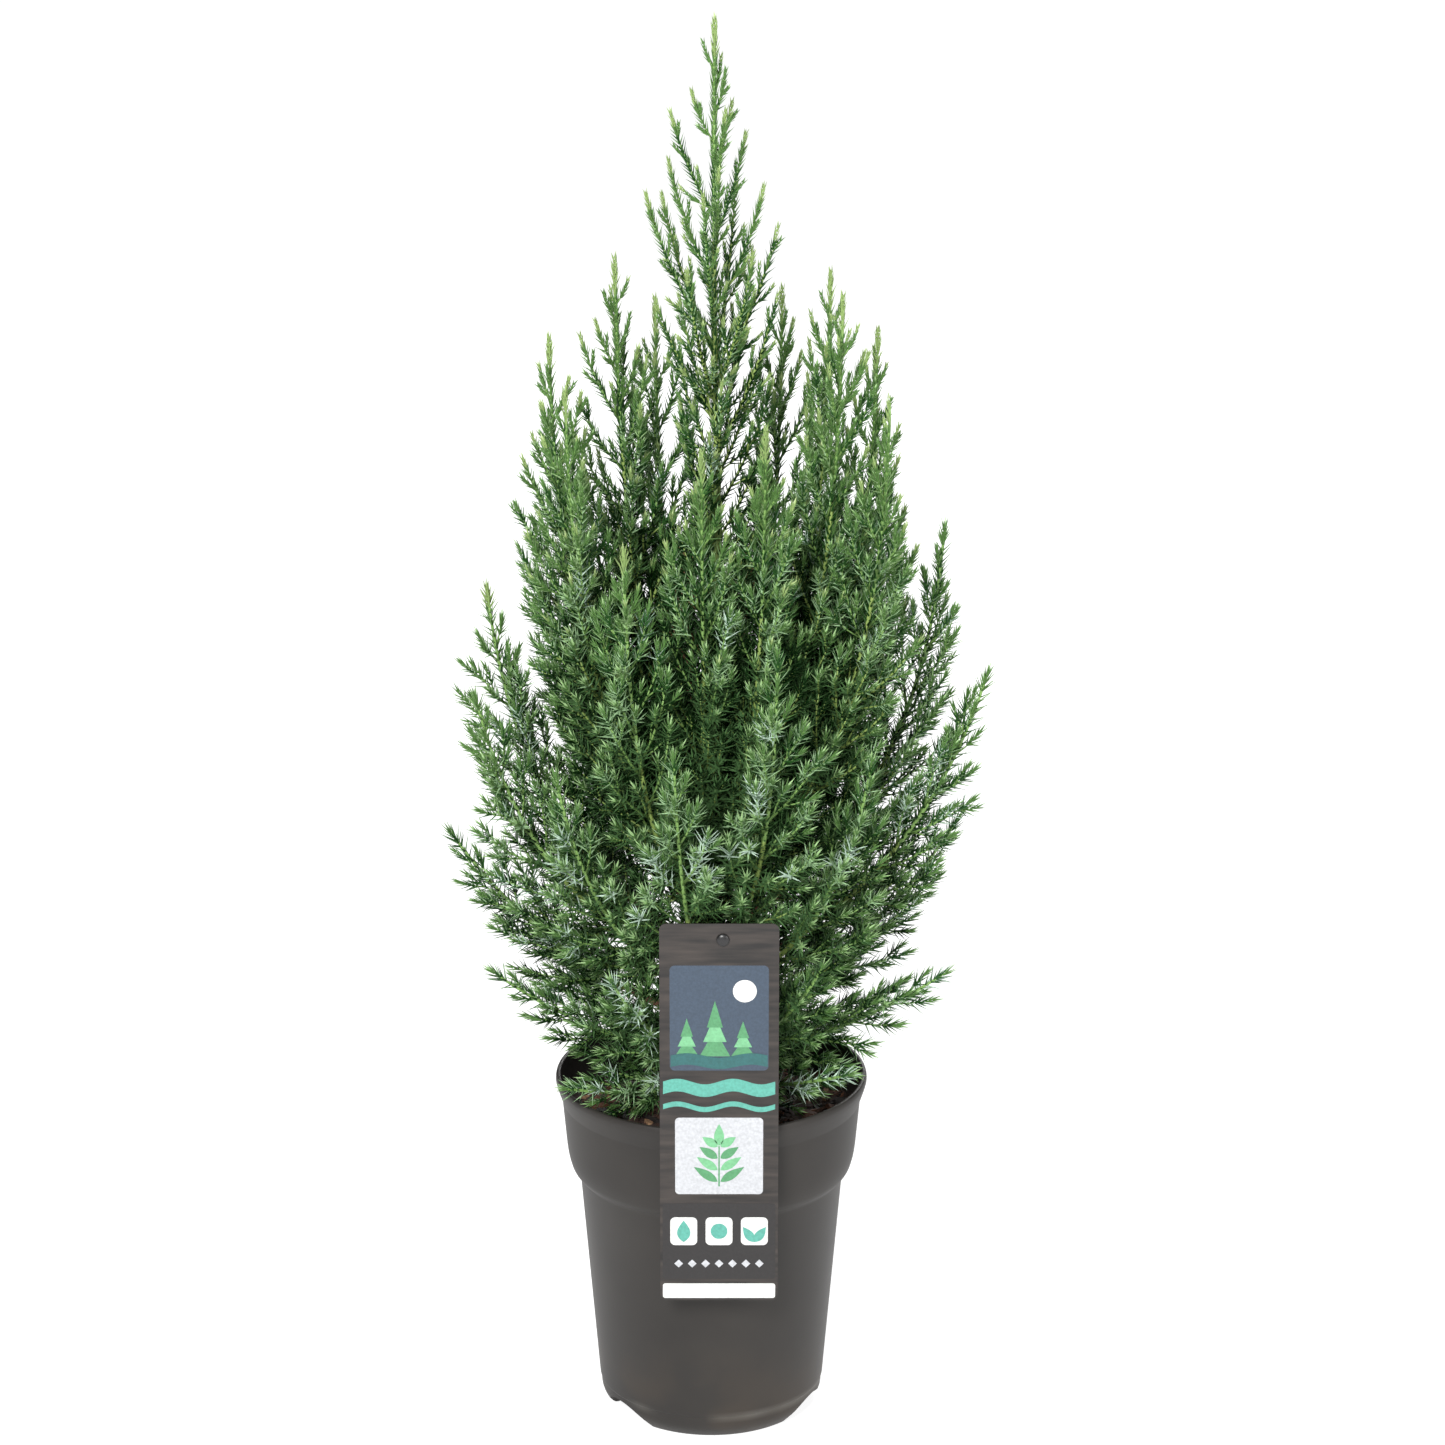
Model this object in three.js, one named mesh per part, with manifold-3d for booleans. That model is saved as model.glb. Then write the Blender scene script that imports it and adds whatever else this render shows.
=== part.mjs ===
// A young Chinese juniper in a round plastic nursery pot, with its hanging label on a stake.
// Millimetres, +Z up. The origin is the centre of the pot's flat underside, and -Y is the front.
import * as THREE from "three";
import { mergeVertices } from "three/addons/utils/BufferGeometryUtils.js";
import Module from "manifold-3d";

const wasm = await Module();
wasm.setup();

// Driving dimensions
const GAP = 0.3; // clearance between pieces that meet
const POT = {
  height: 216,
  footRadius: 61.5,
  footRound: 6.4,
  creaseRadius: 68.4, // where the foot band ends, and the wall starts a little proud of it
  creaseHeight: 16,
  creaseStep: 0.6,
  neckRadius: 80.3, // top of the wall, under the collar
  neckHeight: 151,
  collarRadius: 87.8,
  collarHeight: 166,
  lipFootRadius: 90.9,
  lipFootHeight: 200,
  rimRadius: 95,
  wall: 2,
  rimWall: 3.2,
  floor: 3,
  segments: 36,
};
const DRAIN = { count: 3, firstBearing: -55, halfWidth: 21.5, height: 12.8, inner: 53 };
const SOIL = { top: 198, mound: 5 };
const TRUNK = {
  top: 598,
  baseRadius: 7.5,
  tipRadius: 2.6,
  flare: 5.5,
  flareHeight: 9,
  lean: 3,
  sway: 4,
  sides: 8,
  flareRings: [0, 5, 12, 24], // heights of the sections through the flare, above the soil
  upperRings: 7,
};
const TIP_HEIGHT = 863;
const LABEL = {
  width: 70,
  length: 240,
  thick: 0.8,
  corner: 4,
  centreX: 4.6,
  holeRadius: 2.6,
  holeDrop: 10,
  overRim: 0.4, // between the label and the rim that it hangs against
};
const STUD = { x: 6.8, z: 337.5, neckRadius: 2.2, headRadius: 3.9, headThick: 1.8, sunk: 0.2 };
const STAKE = { width: 8.5, thick: 2.2, overStud: 5, footZ: 168, footY: -82, behindLabel: 0.5 };

// Every limb leaves the trunk in its own direction and rises to a tip. bearing is in degrees,
// 0 to the front and 90 to the right, reach is the tip's distance from the pot's axis, and top is
// its height. The first group shows in the picture, and the rear group fills the far side.
const LIMBS = [
  { name: "left_high", bearing: -96, reach: 95, top: 675 },
  { name: "left_front_high", bearing: -66, reach: 92, top: 655 },
  { name: "left_inner", bearing: -118, reach: 64, top: 718 },
  { name: "right_inner_back", bearing: 118, reach: 79, top: 708 },
  { name: "right_inner_front", bearing: 70, reach: 80, top: 708 },
  { name: "right_high", bearing: 98, reach: 98, top: 678 },
  { name: "right_front_high", bearing: 66, reach: 112, top: 655 },
  { name: "front_high", bearing: -5, reach: 66, top: 625 },
  { name: "front_right_high", bearing: 24, reach: 76, top: 640 },
  { name: "front_left_mid", bearing: -31, reach: 97, top: 572 },
  { name: "front_right_mid", bearing: 19, reach: 116, top: 520 },
  { name: "front_left_low", bearing: -10, reach: 124, top: 462 },
  { name: "left_front_low", bearing: -45, reach: 128, top: 440 },
  { name: "front_right_low", bearing: 49, reach: 124, top: 446 },
  { name: "right_upper_arm", bearing: 99, reach: 140, top: 558 },
  { name: "right_wide_arm", bearing: 83, reach: 165, top: 480 },
  { name: "right_low_arm", bearing: 101, reach: 154, top: 372 },
  { name: "right_lowest_arm", bearing: 72, reach: 150, top: 300 },
  { name: "left_upper_arm", bearing: -93, reach: 133, top: 524 },
  { name: "left_wide_arm", bearing: -72, reach: 146, top: 474 },
  { name: "left_low_arm", bearing: -94, reach: 160, top: 370 },
  { name: "left_lowest_arm", bearing: -70, reach: 142, top: 302 },
  { name: "front_left_lowest", bearing: -30, reach: 120, top: 318 },
  { name: "front_right_lowest", bearing: 33, reach: 122, top: 326 },
  { name: "left_rim_frond", bearing: -50, reach: 118, top: 236 },
  { name: "right_rim_frond", bearing: 50, reach: 112, top: 244 },
  { name: "back_right_high", bearing: 150, reach: 84, top: 690 },
  { name: "back_left_high", bearing: 203, reach: 86, top: 682 },
  { name: "back_right_mid", bearing: 130, reach: 126, top: 584 },
  { name: "back_mid", bearing: 180, reach: 122, top: 572 },
  { name: "back_left_mid", bearing: 227, reach: 124, top: 590 },
  { name: "back_right_low", bearing: 146, reach: 150, top: 440 },
  { name: "back_left_low", bearing: 214, reach: 150, top: 432 },
  { name: "back_lowest", bearing: 180, reach: 140, top: 318 },
  { name: "back_right_lowest", bearing: 126, reach: 142, top: 284 },
  { name: "back_left_lowest", bearing: 234, reach: 142, top: 290 },
];
const LIMB = {
  lowestFoot: 206, // the lowest limb leaves the trunk here
  footShare: 0.3, // and another leaves higher, by this share of the rise from tip to tip
  bow: { least: 0.5, most: 0.98 }, // how far out a limb bends up, as a share of its reach
  bendRise: 0.24, // and how high, as a share of its rise
  bareShare: 0.26, // the share of its line that is a bare bough
  steepest: 4.4, // steeper limbs are leafy from the trunk on
  flattest: 1.06, // and so are flatter ones
  radius: 3.4,
  tipRadius: 1.7,
  sides: 5,
  steps: 3,
};
// The crown's outline: how far it reaches from the axis at each height.
const CROWN = [
  [200, 104],
  [250, 128],
  [300, 152],
  [370, 162],
  [480, 165],
  [515, 143],
  [560, 138],
  [600, 115],
  [680, 99],
  [720, 74],
  [760, 46],
  [800, 27],
  [863, 8],
];
const SPRAY = {
  spacing: 10, // between the twigs along a stem
  every: 4, // the twigs made here; finer growth fills in the others
  bareTip: 48, // leader above the last twig
  share: 0.5, // a twig's length, as a share of the stem above it
  longest: 66,
  crownLongest: 112,
  shortest: 20,
  angle: 33,
  angleSpread: 10,
  lift: 0.3, // how far a twig bends up towards the stem's own direction
  branchFrom: 72, // twigs longer than this carry twigs of their own
  branchSpacing: 26,
  whorl: 13, // between the whorls of needles on a twig
  needle: 10,
  needleForward: 12,
  core: 1.2,
  neck: 0.26, // the first and last whorls of a twig, as shares of its length
  lastWhorl: 0.8,
  clear: 0.9, // kept on each side of the border between two masses
  berth: 3, // kept to the pot, the soil and the label
};
const TIP = { needle: 6.5, forward: 11 }; // the closer needles of a mass's own tip
const TURN = 124.4; // between one twig of the spiral and the next; four make a golden angle

const rad = THREE.MathUtils.degToRad;
const up = new THREE.Vector3(0, 0, 1);
const right = new THREE.Vector3(1, 0, 0);

// Solids

function solidOf(geometry) {
  const bare = geometry.index ? geometry.toNonIndexed() : geometry.clone();
  bare.deleteAttribute("normal");
  bare.deleteAttribute("uv");
  const merged = mergeVertices(bare, 1e-4);
  return new wasm.Manifold(
    new wasm.Mesh({
      numProp: 3,
      vertProperties: merged.attributes.position.array,
      triVerts: new Uint32Array(merged.index.array),
    }),
  );
}

function geometryOf(solid) {
  const mesh = solid.getMesh();
  const geometry = new THREE.BufferGeometry();
  geometry.setAttribute("position", new THREE.BufferAttribute(mesh.vertProperties, 3));
  geometry.setIndex(new THREE.BufferAttribute(mesh.triVerts, 1));
  geometry.computeVertexNormals();
  return geometry;
}

function largestPiece(solid) {
  return solid.decompose().reduce((best, piece) => (piece.volume() > best.volume() ? piece : best));
}

// A closed skin over rings of points. Each ring has as many points as the last, or twice as many.
function loft(rings, tip) {
  const triangles = [];
  const first = rings[0];
  for (let i = 1; i < first.length - 1; i++) triangles.push(first[0], first[i + 1], first[i]);
  for (let k = 1; k < rings.length; k++) {
    const a = rings[k - 1];
    const b = rings[k];
    const n = a.length;
    for (let i = 0; i < n; i++) {
      const next = (i + 1) % n;
      if (b.length === n) {
        triangles.push(...fourSides(a[i], a[next], b[next], b[i]));
      } else {
        const before = b[(2 * i + b.length - 1) % b.length];
        const after = b[2 * i + 1];
        triangles.push(a[i], b[2 * i], before, a[i], after, b[2 * i], a[i], a[next], after);
      }
    }
  }
  const last = rings.at(-1);
  if (tip) {
    last.forEach((p, i) => triangles.push(p, last[(i + 1) % last.length], tip));
  } else {
    for (let i = 1; i < last.length - 1; i++) triangles.push(last[0], last[i], last[i + 1]);
  }
  return new THREE.BufferGeometry().setFromPoints(triangles);
}

// The two triangles of a face, split along its shorter diagonal.
function fourSides(a, b, c, d) {
  return a.distanceTo(c) < b.distanceTo(d) ? [a, b, c, a, c, d] : [a, b, d, b, c, d];
}

// The direction across a line at an angle from its side.
function across(along, side, angle) {
  const first = side.clone().addScaledVector(along, -side.dot(along)).normalize();
  const second = new THREE.Vector3().crossVectors(along, first);
  return first.multiplyScalar(Math.cos(angle)).addScaledVector(second, Math.sin(angle));
}

function ringAt(centre, along, side, radius, count) {
  return Array.from({ length: count }, (_, i) =>
    centre.clone().addScaledVector(across(along, side, (i / count) * 2 * Math.PI), radius),
  );
}

// A repeatable number from 0 to 1 for one choice on one shoot.
function chance(seed, choice) {
  const s = Math.sin(seed * 12.9898 + choice * 78.233) * 43758.5453;
  return s - Math.floor(s);
}

// Pot

function potProfile() {
  const p = POT;
  const inner = (radius) => radius - p.wall;
  const outside = [
    [0, 0],
    [p.footRadius, 0],
    [p.footRadius + p.footRound, p.footRound * 1.2],
    [p.creaseRadius, p.creaseHeight],
    [p.creaseRadius + p.creaseStep, p.creaseHeight + p.creaseStep],
    [p.neckRadius, p.neckHeight],
    [p.neckRadius + 5, p.neckHeight + 6],
    [p.collarRadius, p.collarHeight],
    [p.lipFootRadius, p.lipFootHeight],
    [p.rimRadius - 0.9, p.height - 6],
    [p.rimRadius, p.height - 3],
    [p.rimRadius - 0.8, p.height],
  ];
  const inside = [
    [p.rimRadius - p.rimWall, p.height],
    [inner(p.collarRadius), p.collarHeight],
    [inner(p.neckRadius), p.neckHeight],
    [inner(p.creaseRadius), p.creaseHeight], // the floor is raised over the drain arches
    [DRAIN.inner - 4, p.creaseHeight],
    [DRAIN.inner - 10, p.floor],
    [0, p.floor],
  ];
  return { outside, inside };
}

function lathe(points) {
  const turned = new THREE.LatheGeometry(
    points.map(([r, z]) => new THREE.Vector2(r, z)),
    POT.segments,
  );
  return turned.rotateX(Math.PI / 2);
}

function potSolid() {
  const { outside, inside } = potProfile();
  let pot = solidOf(lathe([...outside, ...inside]));
  const length = POT.footRadius;
  for (let k = 0; k < DRAIN.count; k++) {
    const bearing = rad(DRAIN.firstBearing + (k * 360) / DRAIN.count);
    const arch = new THREE.CylinderGeometry(DRAIN.height, DRAIN.height, length, 24)
      .scale(DRAIN.halfWidth / DRAIN.height, 1, 1)
      .translate(0, -length / 2 - DRAIN.inner, 0)
      .rotateZ(bearing);
    pot = pot.subtract(solidOf(arch));
  }
  return pot;
}

function soilSolid(stake) {
  const [above, below] = potProfile().inside;
  const share = (SOIL.top - below[1]) / (above[1] - below[1]);
  const edge = below[0] + share * (above[0] - below[0]) - GAP;
  const profile = [
    [0, SOIL.top],
    [edge * 0.6, SOIL.top - 0.3 * SOIL.mound],
    [edge - 2, SOIL.top - SOIL.mound],
  ];
  for (const [r, z] of potProfile().inside.slice(1)) {
    profile.push([Math.max(r - GAP, 0), z < SOIL.top / 2 ? z + GAP : z]);
  }
  return solidOf(lathe(profile.reverse())).subtract(stake);
}

// Label and stake

function labelGeometry() {
  const { width, length, thick, corner, holeRadius, holeDrop, centreX } = LABEL;
  const left = centreX - STUD.x - width / 2;
  const right = left + width;
  const top = holeDrop;
  const bottom = holeDrop - length;
  const outline = new THREE.Shape();
  outline.moveTo(left + corner, bottom);
  outline.lineTo(right - corner, bottom);
  outline.absarc(right - corner, bottom + corner, corner, -Math.PI / 2, 0, false);
  outline.lineTo(right, top - corner);
  outline.absarc(right - corner, top - corner, corner, 0, Math.PI / 2, false);
  outline.lineTo(left + corner, top);
  outline.absarc(left + corner, top - corner, corner, Math.PI / 2, Math.PI, false);
  outline.lineTo(left, bottom + corner);
  outline.absarc(left + corner, bottom + corner, corner, Math.PI, 1.5 * Math.PI, false);
  outline.holes.push(new THREE.Path().absarc(0, 0, holeRadius, 0, 2 * Math.PI, true));
  const flat = new THREE.ExtrudeGeometry(outline, { depth: thick, bevelEnabled: false, curveSegments: 3 });
  return flat.rotateX(Math.PI / 2).translate(0, thick, 0);
}

// The stud goes through the label's hole. The label hangs straight down, against the pot's rim.
const labelFront = -POT.rimRadius - LABEL.overRim - LABEL.thick;
const holeCentre = new THREE.Vector3(STUD.x, labelFront, STUD.z);

function studSolid() {
  const dome = new THREE.LatheGeometry(
    [
      [0, 0],
      [STUD.headRadius, 0],
      [STUD.headRadius, STUD.headThick * 0.4],
      [STUD.headRadius * 0.7, STUD.headThick * 0.9],
      [0, STUD.headThick],
    ].map(([r, z]) => new THREE.Vector2(r, z)),
    16,
  );
  dome.rotateX(Math.PI).translate(0, -GAP, 0);
  const neckLength = LABEL.thick + GAP + STAKE.behindLabel + STAKE.thick;
  const neck = new THREE.CylinderGeometry(STUD.neckRadius, STUD.neckRadius, neckLength, 12);
  neck.translate(0, neckLength / 2 - GAP - STUD.sunk, 0);
  return solidOf(dome).add(solidOf(neck)).translate(holeCentre.toArray());
}

// The stake's straight strip, grown by a clearance on every side for the socket in the soil.
function stripSolid(grow) {
  const depth = LABEL.thick + STAKE.behindLabel + STAKE.thick / 2;
  const head = holeCentre.clone().add(new THREE.Vector3(0, depth, 0));
  const foot = new THREE.Vector3(STUD.x, STAKE.footY, STAKE.footZ);
  const along = head.clone().sub(foot);
  const length = along.length() + STAKE.overStud;
  const box = new THREE.BoxGeometry(STAKE.width + 2 * grow, STAKE.thick + 2 * grow, length + 2 * grow);
  const lean = Math.atan2(-along.y, along.z);
  box.translate(0, 0, length / 2).rotateX(lean).translate(foot.x, foot.y, foot.z);
  return solidOf(box);
}

// Trunk

const trunkShare = (z) => (z - SOIL.top) / (TRUNK.top - SOIL.top);

function trunkCentre(z) {
  const u = trunkShare(z);
  return new THREE.Vector3(TRUNK.lean * u, TRUNK.sway * Math.sin(Math.PI * u), z);
}

function trunkRadius(z) {
  const u = Math.min(Math.max(trunkShare(z), 0), 1);
  const flare = TRUNK.flare * Math.exp(-(z - SOIL.top) / TRUNK.flareHeight);
  return TRUNK.baseRadius + (TRUNK.tipRadius - TRUNK.baseRadius) * u + flare;
}

function trunkSolid(grow) {
  const foot = SOIL.top + GAP - grow;
  const heights = TRUNK.flareRings.map((rise) => foot + rise);
  const flareTop = heights.at(-1);
  for (let k = 1; k <= TRUNK.upperRings; k++) {
    heights.push(flareTop + ((TRUNK.top + grow - flareTop) * k) / TRUNK.upperRings);
  }
  const rings = heights.map((z) => ringAt(trunkCentre(z), up, right, trunkRadius(z) + grow, TRUNK.sides));
  return solidOf(loft(rings));
}

// Limbs

function limbLine(limb) {
  const steep = (limb.top - SOIL.top) / limb.reach;
  const lowest = LIMBS.reduce((least, other) => Math.min(least, other.top), Infinity);
  const start = trunkCentre(LIMB.lowestFoot + LIMB.footShare * (limb.top - lowest));
  const out = new THREE.Vector3(Math.sin(rad(limb.bearing)), -Math.cos(rad(limb.bearing)), 0);
  const { least, most } = LIMB.bow;
  const bow = THREE.MathUtils.clamp(0.4 + 0.2 * steep, least, most) * limb.reach;
  const rise = LIMB.bendRise * (limb.top - start.z);
  const bend = start.clone().addScaledVector(out, bow).addScaledVector(up, rise);
  const end = out.clone().multiplyScalar(limb.reach).setZ(limb.top);
  return { curve: new THREE.QuadraticBezierCurve3(start, bend, end), out, steep };
}

// The trunk's own leader goes on as the crown's top mass.
function leaderLine() {
  const start = trunkCentre(TRUNK.top + GAP);
  const end = new THREE.Vector3(2, 0, TIP_HEIGHT);
  const bend = start.clone().lerp(end, 0.5).add(new THREE.Vector3(-1.5, 0, 0));
  return { curve: new THREE.QuadraticBezierCurve3(start, bend, end), out: new THREE.Vector3(0, -1, 0) };
}

function boughSolid(line, trunkCutter) {
  const side = new THREE.Vector3().crossVectors(up, line.out);
  const rings = [];
  for (let k = 0; k <= LIMB.steps; k++) {
    const t = (LIMB.bareShare * k) / LIMB.steps;
    const radius = LIMB.radius + (LIMB.tipRadius - LIMB.radius) * (k / LIMB.steps);
    rings.push(ringAt(line.curve.getPoint(t), line.curve.getTangent(t), side, radius, LIMB.sides));
  }
  return largestPiece(solidOf(loft(rings)).subtract(trunkCutter));
}

// Masses of needles

// The stem of a mass: the rest of its limb's line, 0.3 mm past the bough's end.
// Like every shoot, it is a line to grow along, by distance from its foot.
function massStem(line, from, seed) {
  const steps = 60;
  const shareAt = (k) => from + ((1 - from) * k) / steps;
  const points = Array.from({ length: steps + 1 }, (_, k) => line.curve.getPoint(shareAt(k)));
  const lengths = [0];
  for (let k = 1; k <= steps; k++) lengths.push(lengths[k - 1] + points[k].distanceTo(points[k - 1]));
  const total = lengths[steps];
  const shareOf = (distance) => {
    const k = Math.max(1, lengths.findIndex((l) => l >= Math.min(distance, total - 1e-6)));
    return k - 1 + (distance - lengths[k - 1]) / (lengths[k] - lengths[k - 1]);
  };
  const side = new THREE.Vector3().crossVectors(up, line.out);
  const at = (distance) => line.curve.getPoint(Math.min(shareAt(shareOf(distance)), 1));
  const tangent = (distance) => line.curve.getTangent(Math.min(shareAt(shareOf(distance)), 1));
  return { seed, total, at, tangent, side, points };
}

// The shoot that leaves another at its place in the spiral, bending up towards its direction.
function sideShoot(parent, i, spacing, longest) {
  const distance = (i + 0.5) * spacing;
  const above = parent.total - distance;
  const along = parent.tangent(distance);
  const turn = rad(TURN * i + 360 * chance(parent.seed, 0));
  const most = longest * (0.85 + 0.3 * chance(parent.seed, 3 * i + 1));
  const grown = SPRAY.share * above * (0.8 + 0.4 * chance(parent.seed, 3 * i + 2));
  return shoot({
    seed: parent.seed * 7 + i + 1,
    start: parent.at(distance),
    along,
    outward: across(along, parent.side, turn),
    angle: rad(SPRAY.angle + SPRAY.angleSpread * (chance(parent.seed, 3 * i + 3) - 0.5)),
    total: Math.min(Math.max(grown, SPRAY.shortest), most),
  });
}

function shoot(traits) {
  const { start, along, outward, angle, total } = traits;
  const towards = (lean) =>
    along.clone().multiplyScalar(Math.cos(lean)).addScaledVector(outward, Math.sin(lean));
  return {
    ...traits,
    side: new THREE.Vector3().crossVectors(along, outward).normalize(),
    at: (distance) => {
      const lean = angle * (1 - (SPRAY.lift * distance) / total);
      return towards(lean).multiplyScalar(distance).add(start);
    },
    tangent: (distance) => towards(angle * (1 - (2 * SPRAY.lift * distance) / total)),
  };
}

// A ring whose needles stand out in a whorl of three, turned from the whorl before it.
function whorl(parent, distance, k, core, needle, forward) {
  const centre = parent.at(distance);
  const along = parent.tangent(distance);
  return ringAt(centre, along, parent.side, 1, 6).map((point, j) => {
    const outward = point.sub(centre);
    const stands = (j + k) % 2 === 0;
    const place = centre.clone().addScaledVector(outward, stands ? needle : core);
    return stands ? place.addScaledVector(along, forward) : place;
  });
}

// The skin of one twig: a three-sided foot sunk in its stem, whorls of needles and a pointed end.
function twigRings(twig) {
  const whorls = Math.max(2, Math.round(twig.total / SPRAY.whorl) - 1);
  const rings = [ringAt(twig.at(0), twig.tangent(0), twig.side, SPRAY.core, 3)];
  for (let k = 0; k < whorls; k++) {
    const share = SPRAY.neck + ((SPRAY.lastWhorl - SPRAY.neck) * k) / (whorls - 1);
    const size = k === 0 ? 0.85 : 1.08 - 0.45 * share;
    const forward = Math.min(SPRAY.needleForward * size, twig.total * (1 - share) * 0.9);
    rings.push(whorl(twig, twig.total * share, k, SPRAY.core, SPRAY.needle * size, forward));
  }
  return { rings, tip: twig.at(twig.total) };
}

// The stem's own skin: plain below, and whorls of close needles on its last third.
function stemSolid(stem) {
  const base = LIMB.tipRadius;
  const plain = (d, radius) => ringAt(stem.at(d), stem.tangent(d), stem.side, radius, 3);
  const rings = [0, 0.15, 0.3, 0.45, 0.6].map((share) =>
    plain(GAP + share * stem.total, base * (1 - 0.5 * share)),
  );
  [0.7, 0.81, 0.92].forEach((share, k) => {
    const size = 1 - 0.2 * k;
    rings.push(whorl(stem, share * stem.total, k, 0.7 * base * size, TIP.needle * size, TIP.forward * size));
  });
  return solidOf(loft(rings, stem.at(stem.total)));
}

// Space

function distanceToLine(point, line) {
  let best = Infinity;
  for (const p of line) best = Math.min(best, point.distanceToSquared(p));
  return Math.sqrt(best);
}

function crownRadius(z) {
  const above = CROWN.findIndex(([height]) => height > z);
  if (above <= 0) return above === 0 ? CROWN[0][1] : 0;
  const [z0, r0] = CROWN[above - 1];
  const [z1, r1] = CROWN[above];
  return r0 + ((r1 - r0) * (z - z0)) / (z1 - z0);
}

function meetsPotOrLabel(p, radius) {
  if (p.z < SOIL.top + SPRAY.berth) return true;
  if (p.z < POT.height + SPRAY.berth && radius > POT.rimRadius - POT.rimWall - 2 * SPRAY.berth) return true;
  const low = p.z < STUD.z + LABEL.holeDrop + SPRAY.berth;
  return low && p.y < STAKE.footY && Math.abs(p.x - LABEL.centreX) < LABEL.width / 2 + SPRAY.berth;
}

function keepsToItsSpace(points, own, stems, limbs) {
  return points.every((p) => {
    const radius = Math.hypot(p.x, p.y);
    if (meetsPotOrLabel(p, radius) || radius > crownRadius(p.z)) return false;
    const mine = distanceToLine(p, own.points);
    const near = stems.some((s) => s !== own && distanceToLine(p, s.points) < mine + 2 * SPRAY.clear);
    if (near) return false;
    return limbs.every(({ line, radius: r }) => distanceToLine(p, line) > r + SPRAY.clear);
  });
}

// The longest form of a twig that keeps to its mass's space, or nothing.
function fitted(twig, fits) {
  for (const share of [1, 0.82, 0.66, 0.52, 0.4]) {
    const tried = shoot({ ...twig, total: twig.total * share });
    if (tried.total < 0.8 * SPRAY.shortest) return null;
    const { rings, tip } = twigRings(tried);
    if (fits([...rings.slice(1).flat(), tip])) return { twig: tried, solid: solidOf(loft(rings, tip)) };
  }
  return null;
}

// The twigs that fit on one shoot, and on its longest twigs the ones that fit there.
function twigSolids(parent, fits, spacing, every, longest) {
  const solids = [];
  for (let i = 0; (i + 0.5) * spacing < parent.total - SPRAY.bareTip; i += every) {
    const grown = fitted(sideShoot(parent, i, spacing, longest), fits);
    if (!grown) continue;
    solids.push(grown.solid);
    if (grown.twig.total > SPRAY.branchFrom) {
      solids.push(...twigSolids(grown.twig, fits, SPRAY.branchSpacing, 1, longest / 2));
    }
  }
  return solids;
}

function massSolid(stem, fits, longest) {
  const twigs = twigSolids(stem, fits, SPRAY.spacing, SPRAY.every, longest);
  return largestPiece(twigs.reduce((mass, twig) => mass.add(twig), stemSolid(stem)));
}

// The whole plant

const finishes = {
  pot: new THREE.MeshStandardMaterial({ color: 0x4c4b4a, roughness: 0.55, metalness: 0 }),
  soil: new THREE.MeshStandardMaterial({ color: 0x2b1a12, roughness: 1, metalness: 0 }),
  bark: new THREE.MeshStandardMaterial({ color: 0x6b4430, roughness: 0.9, metalness: 0 }),
  needles: new THREE.MeshStandardMaterial({ color: 0x4f7d55, roughness: 0.7, metalness: 0 }),
  label: new THREE.MeshStandardMaterial({ color: 0x4a5868, roughness: 0.4, metalness: 0 }),
  stake: new THREE.MeshStandardMaterial({ color: 0x1c1b1d, roughness: 0.5, metalness: 0 }),
};

const juniper = new THREE.Group();

function addPiece(name, geometry, finish) {
  const mesh = new THREE.Mesh(geometry, finish);
  mesh.name = name;
  juniper.add(mesh);
  return mesh;
}

addPiece("pot", geometryOf(potSolid()), finishes.pot);
addPiece("soil", geometryOf(soilSolid(stripSolid(GAP))), finishes.soil);
addPiece("label_stake", geometryOf(stripSolid(0).add(studSolid())), finishes.stake);
addPiece("label", labelGeometry(), finishes.label).position.copy(holeCentre);
addPiece("trunk", geometryOf(trunkSolid(0)), finishes.bark);

const trunkCutter = trunkSolid(GAP);
const trunkLine = Array.from({ length: 80 }, (_, k) =>
  trunkCentre(SOIL.top + ((TRUNK.top - SOIL.top) * k) / 79),
);
const limbs = LIMBS.map((limb, index) => {
  const line = limbLine(limb);
  const bare = line.steep < LIMB.steepest && line.steep > LIMB.flattest;
  const from = bare ? LIMB.bareShare : 0;
  return { ...limb, ...line, bare, stem: massStem(line, from, index + 1) };
});
const crown = { name: "crown_top", bare: false, stem: massStem(leaderLine(), 0, 0) };
const everyMass = [crown, ...limbs];
const stems = everyMass.map((m) => m.stem);
const boughLines = limbs
  .filter((m) => m.bare)
  .map((m) => ({
    line: Array.from({ length: 40 }, (_, k) => m.curve.getPoint((LIMB.bareShare * k) / 39)),
    radius: LIMB.radius,
  }));
const trunkObstacle = { line: trunkLine, radius: TRUNK.baseRadius };

for (const limb of limbs) {
  if (limb.bare) addPiece("bough_" + limb.name, geometryOf(boughSolid(limb, trunkCutter)), finishes.bark);
}
for (const part of everyMass) {
  const fits = (points) => keepsToItsSpace(points, part.stem, stems, [trunkObstacle, ...boughLines]);
  const mass = massSolid(part.stem, fits, part === crown ? SPRAY.crownLongest : SPRAY.longest);
  const clear = part.bare || part === crown ? mass : largestPiece(mass.subtract(trunkCutter));
  addPiece("needles_" + part.name, geometryOf(clear), finishes.needles);
}

export default juniper;
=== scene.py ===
# A young Chinese juniper in a round nursery pot, with its hanging label: the finished look.
# Growth and outlines are worked out in millimetres, and every mesh is written in metres.
import math

import bmesh
import bpy
import numpy as np
from mathutils import Matrix, Vector, kdtree, noise


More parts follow.
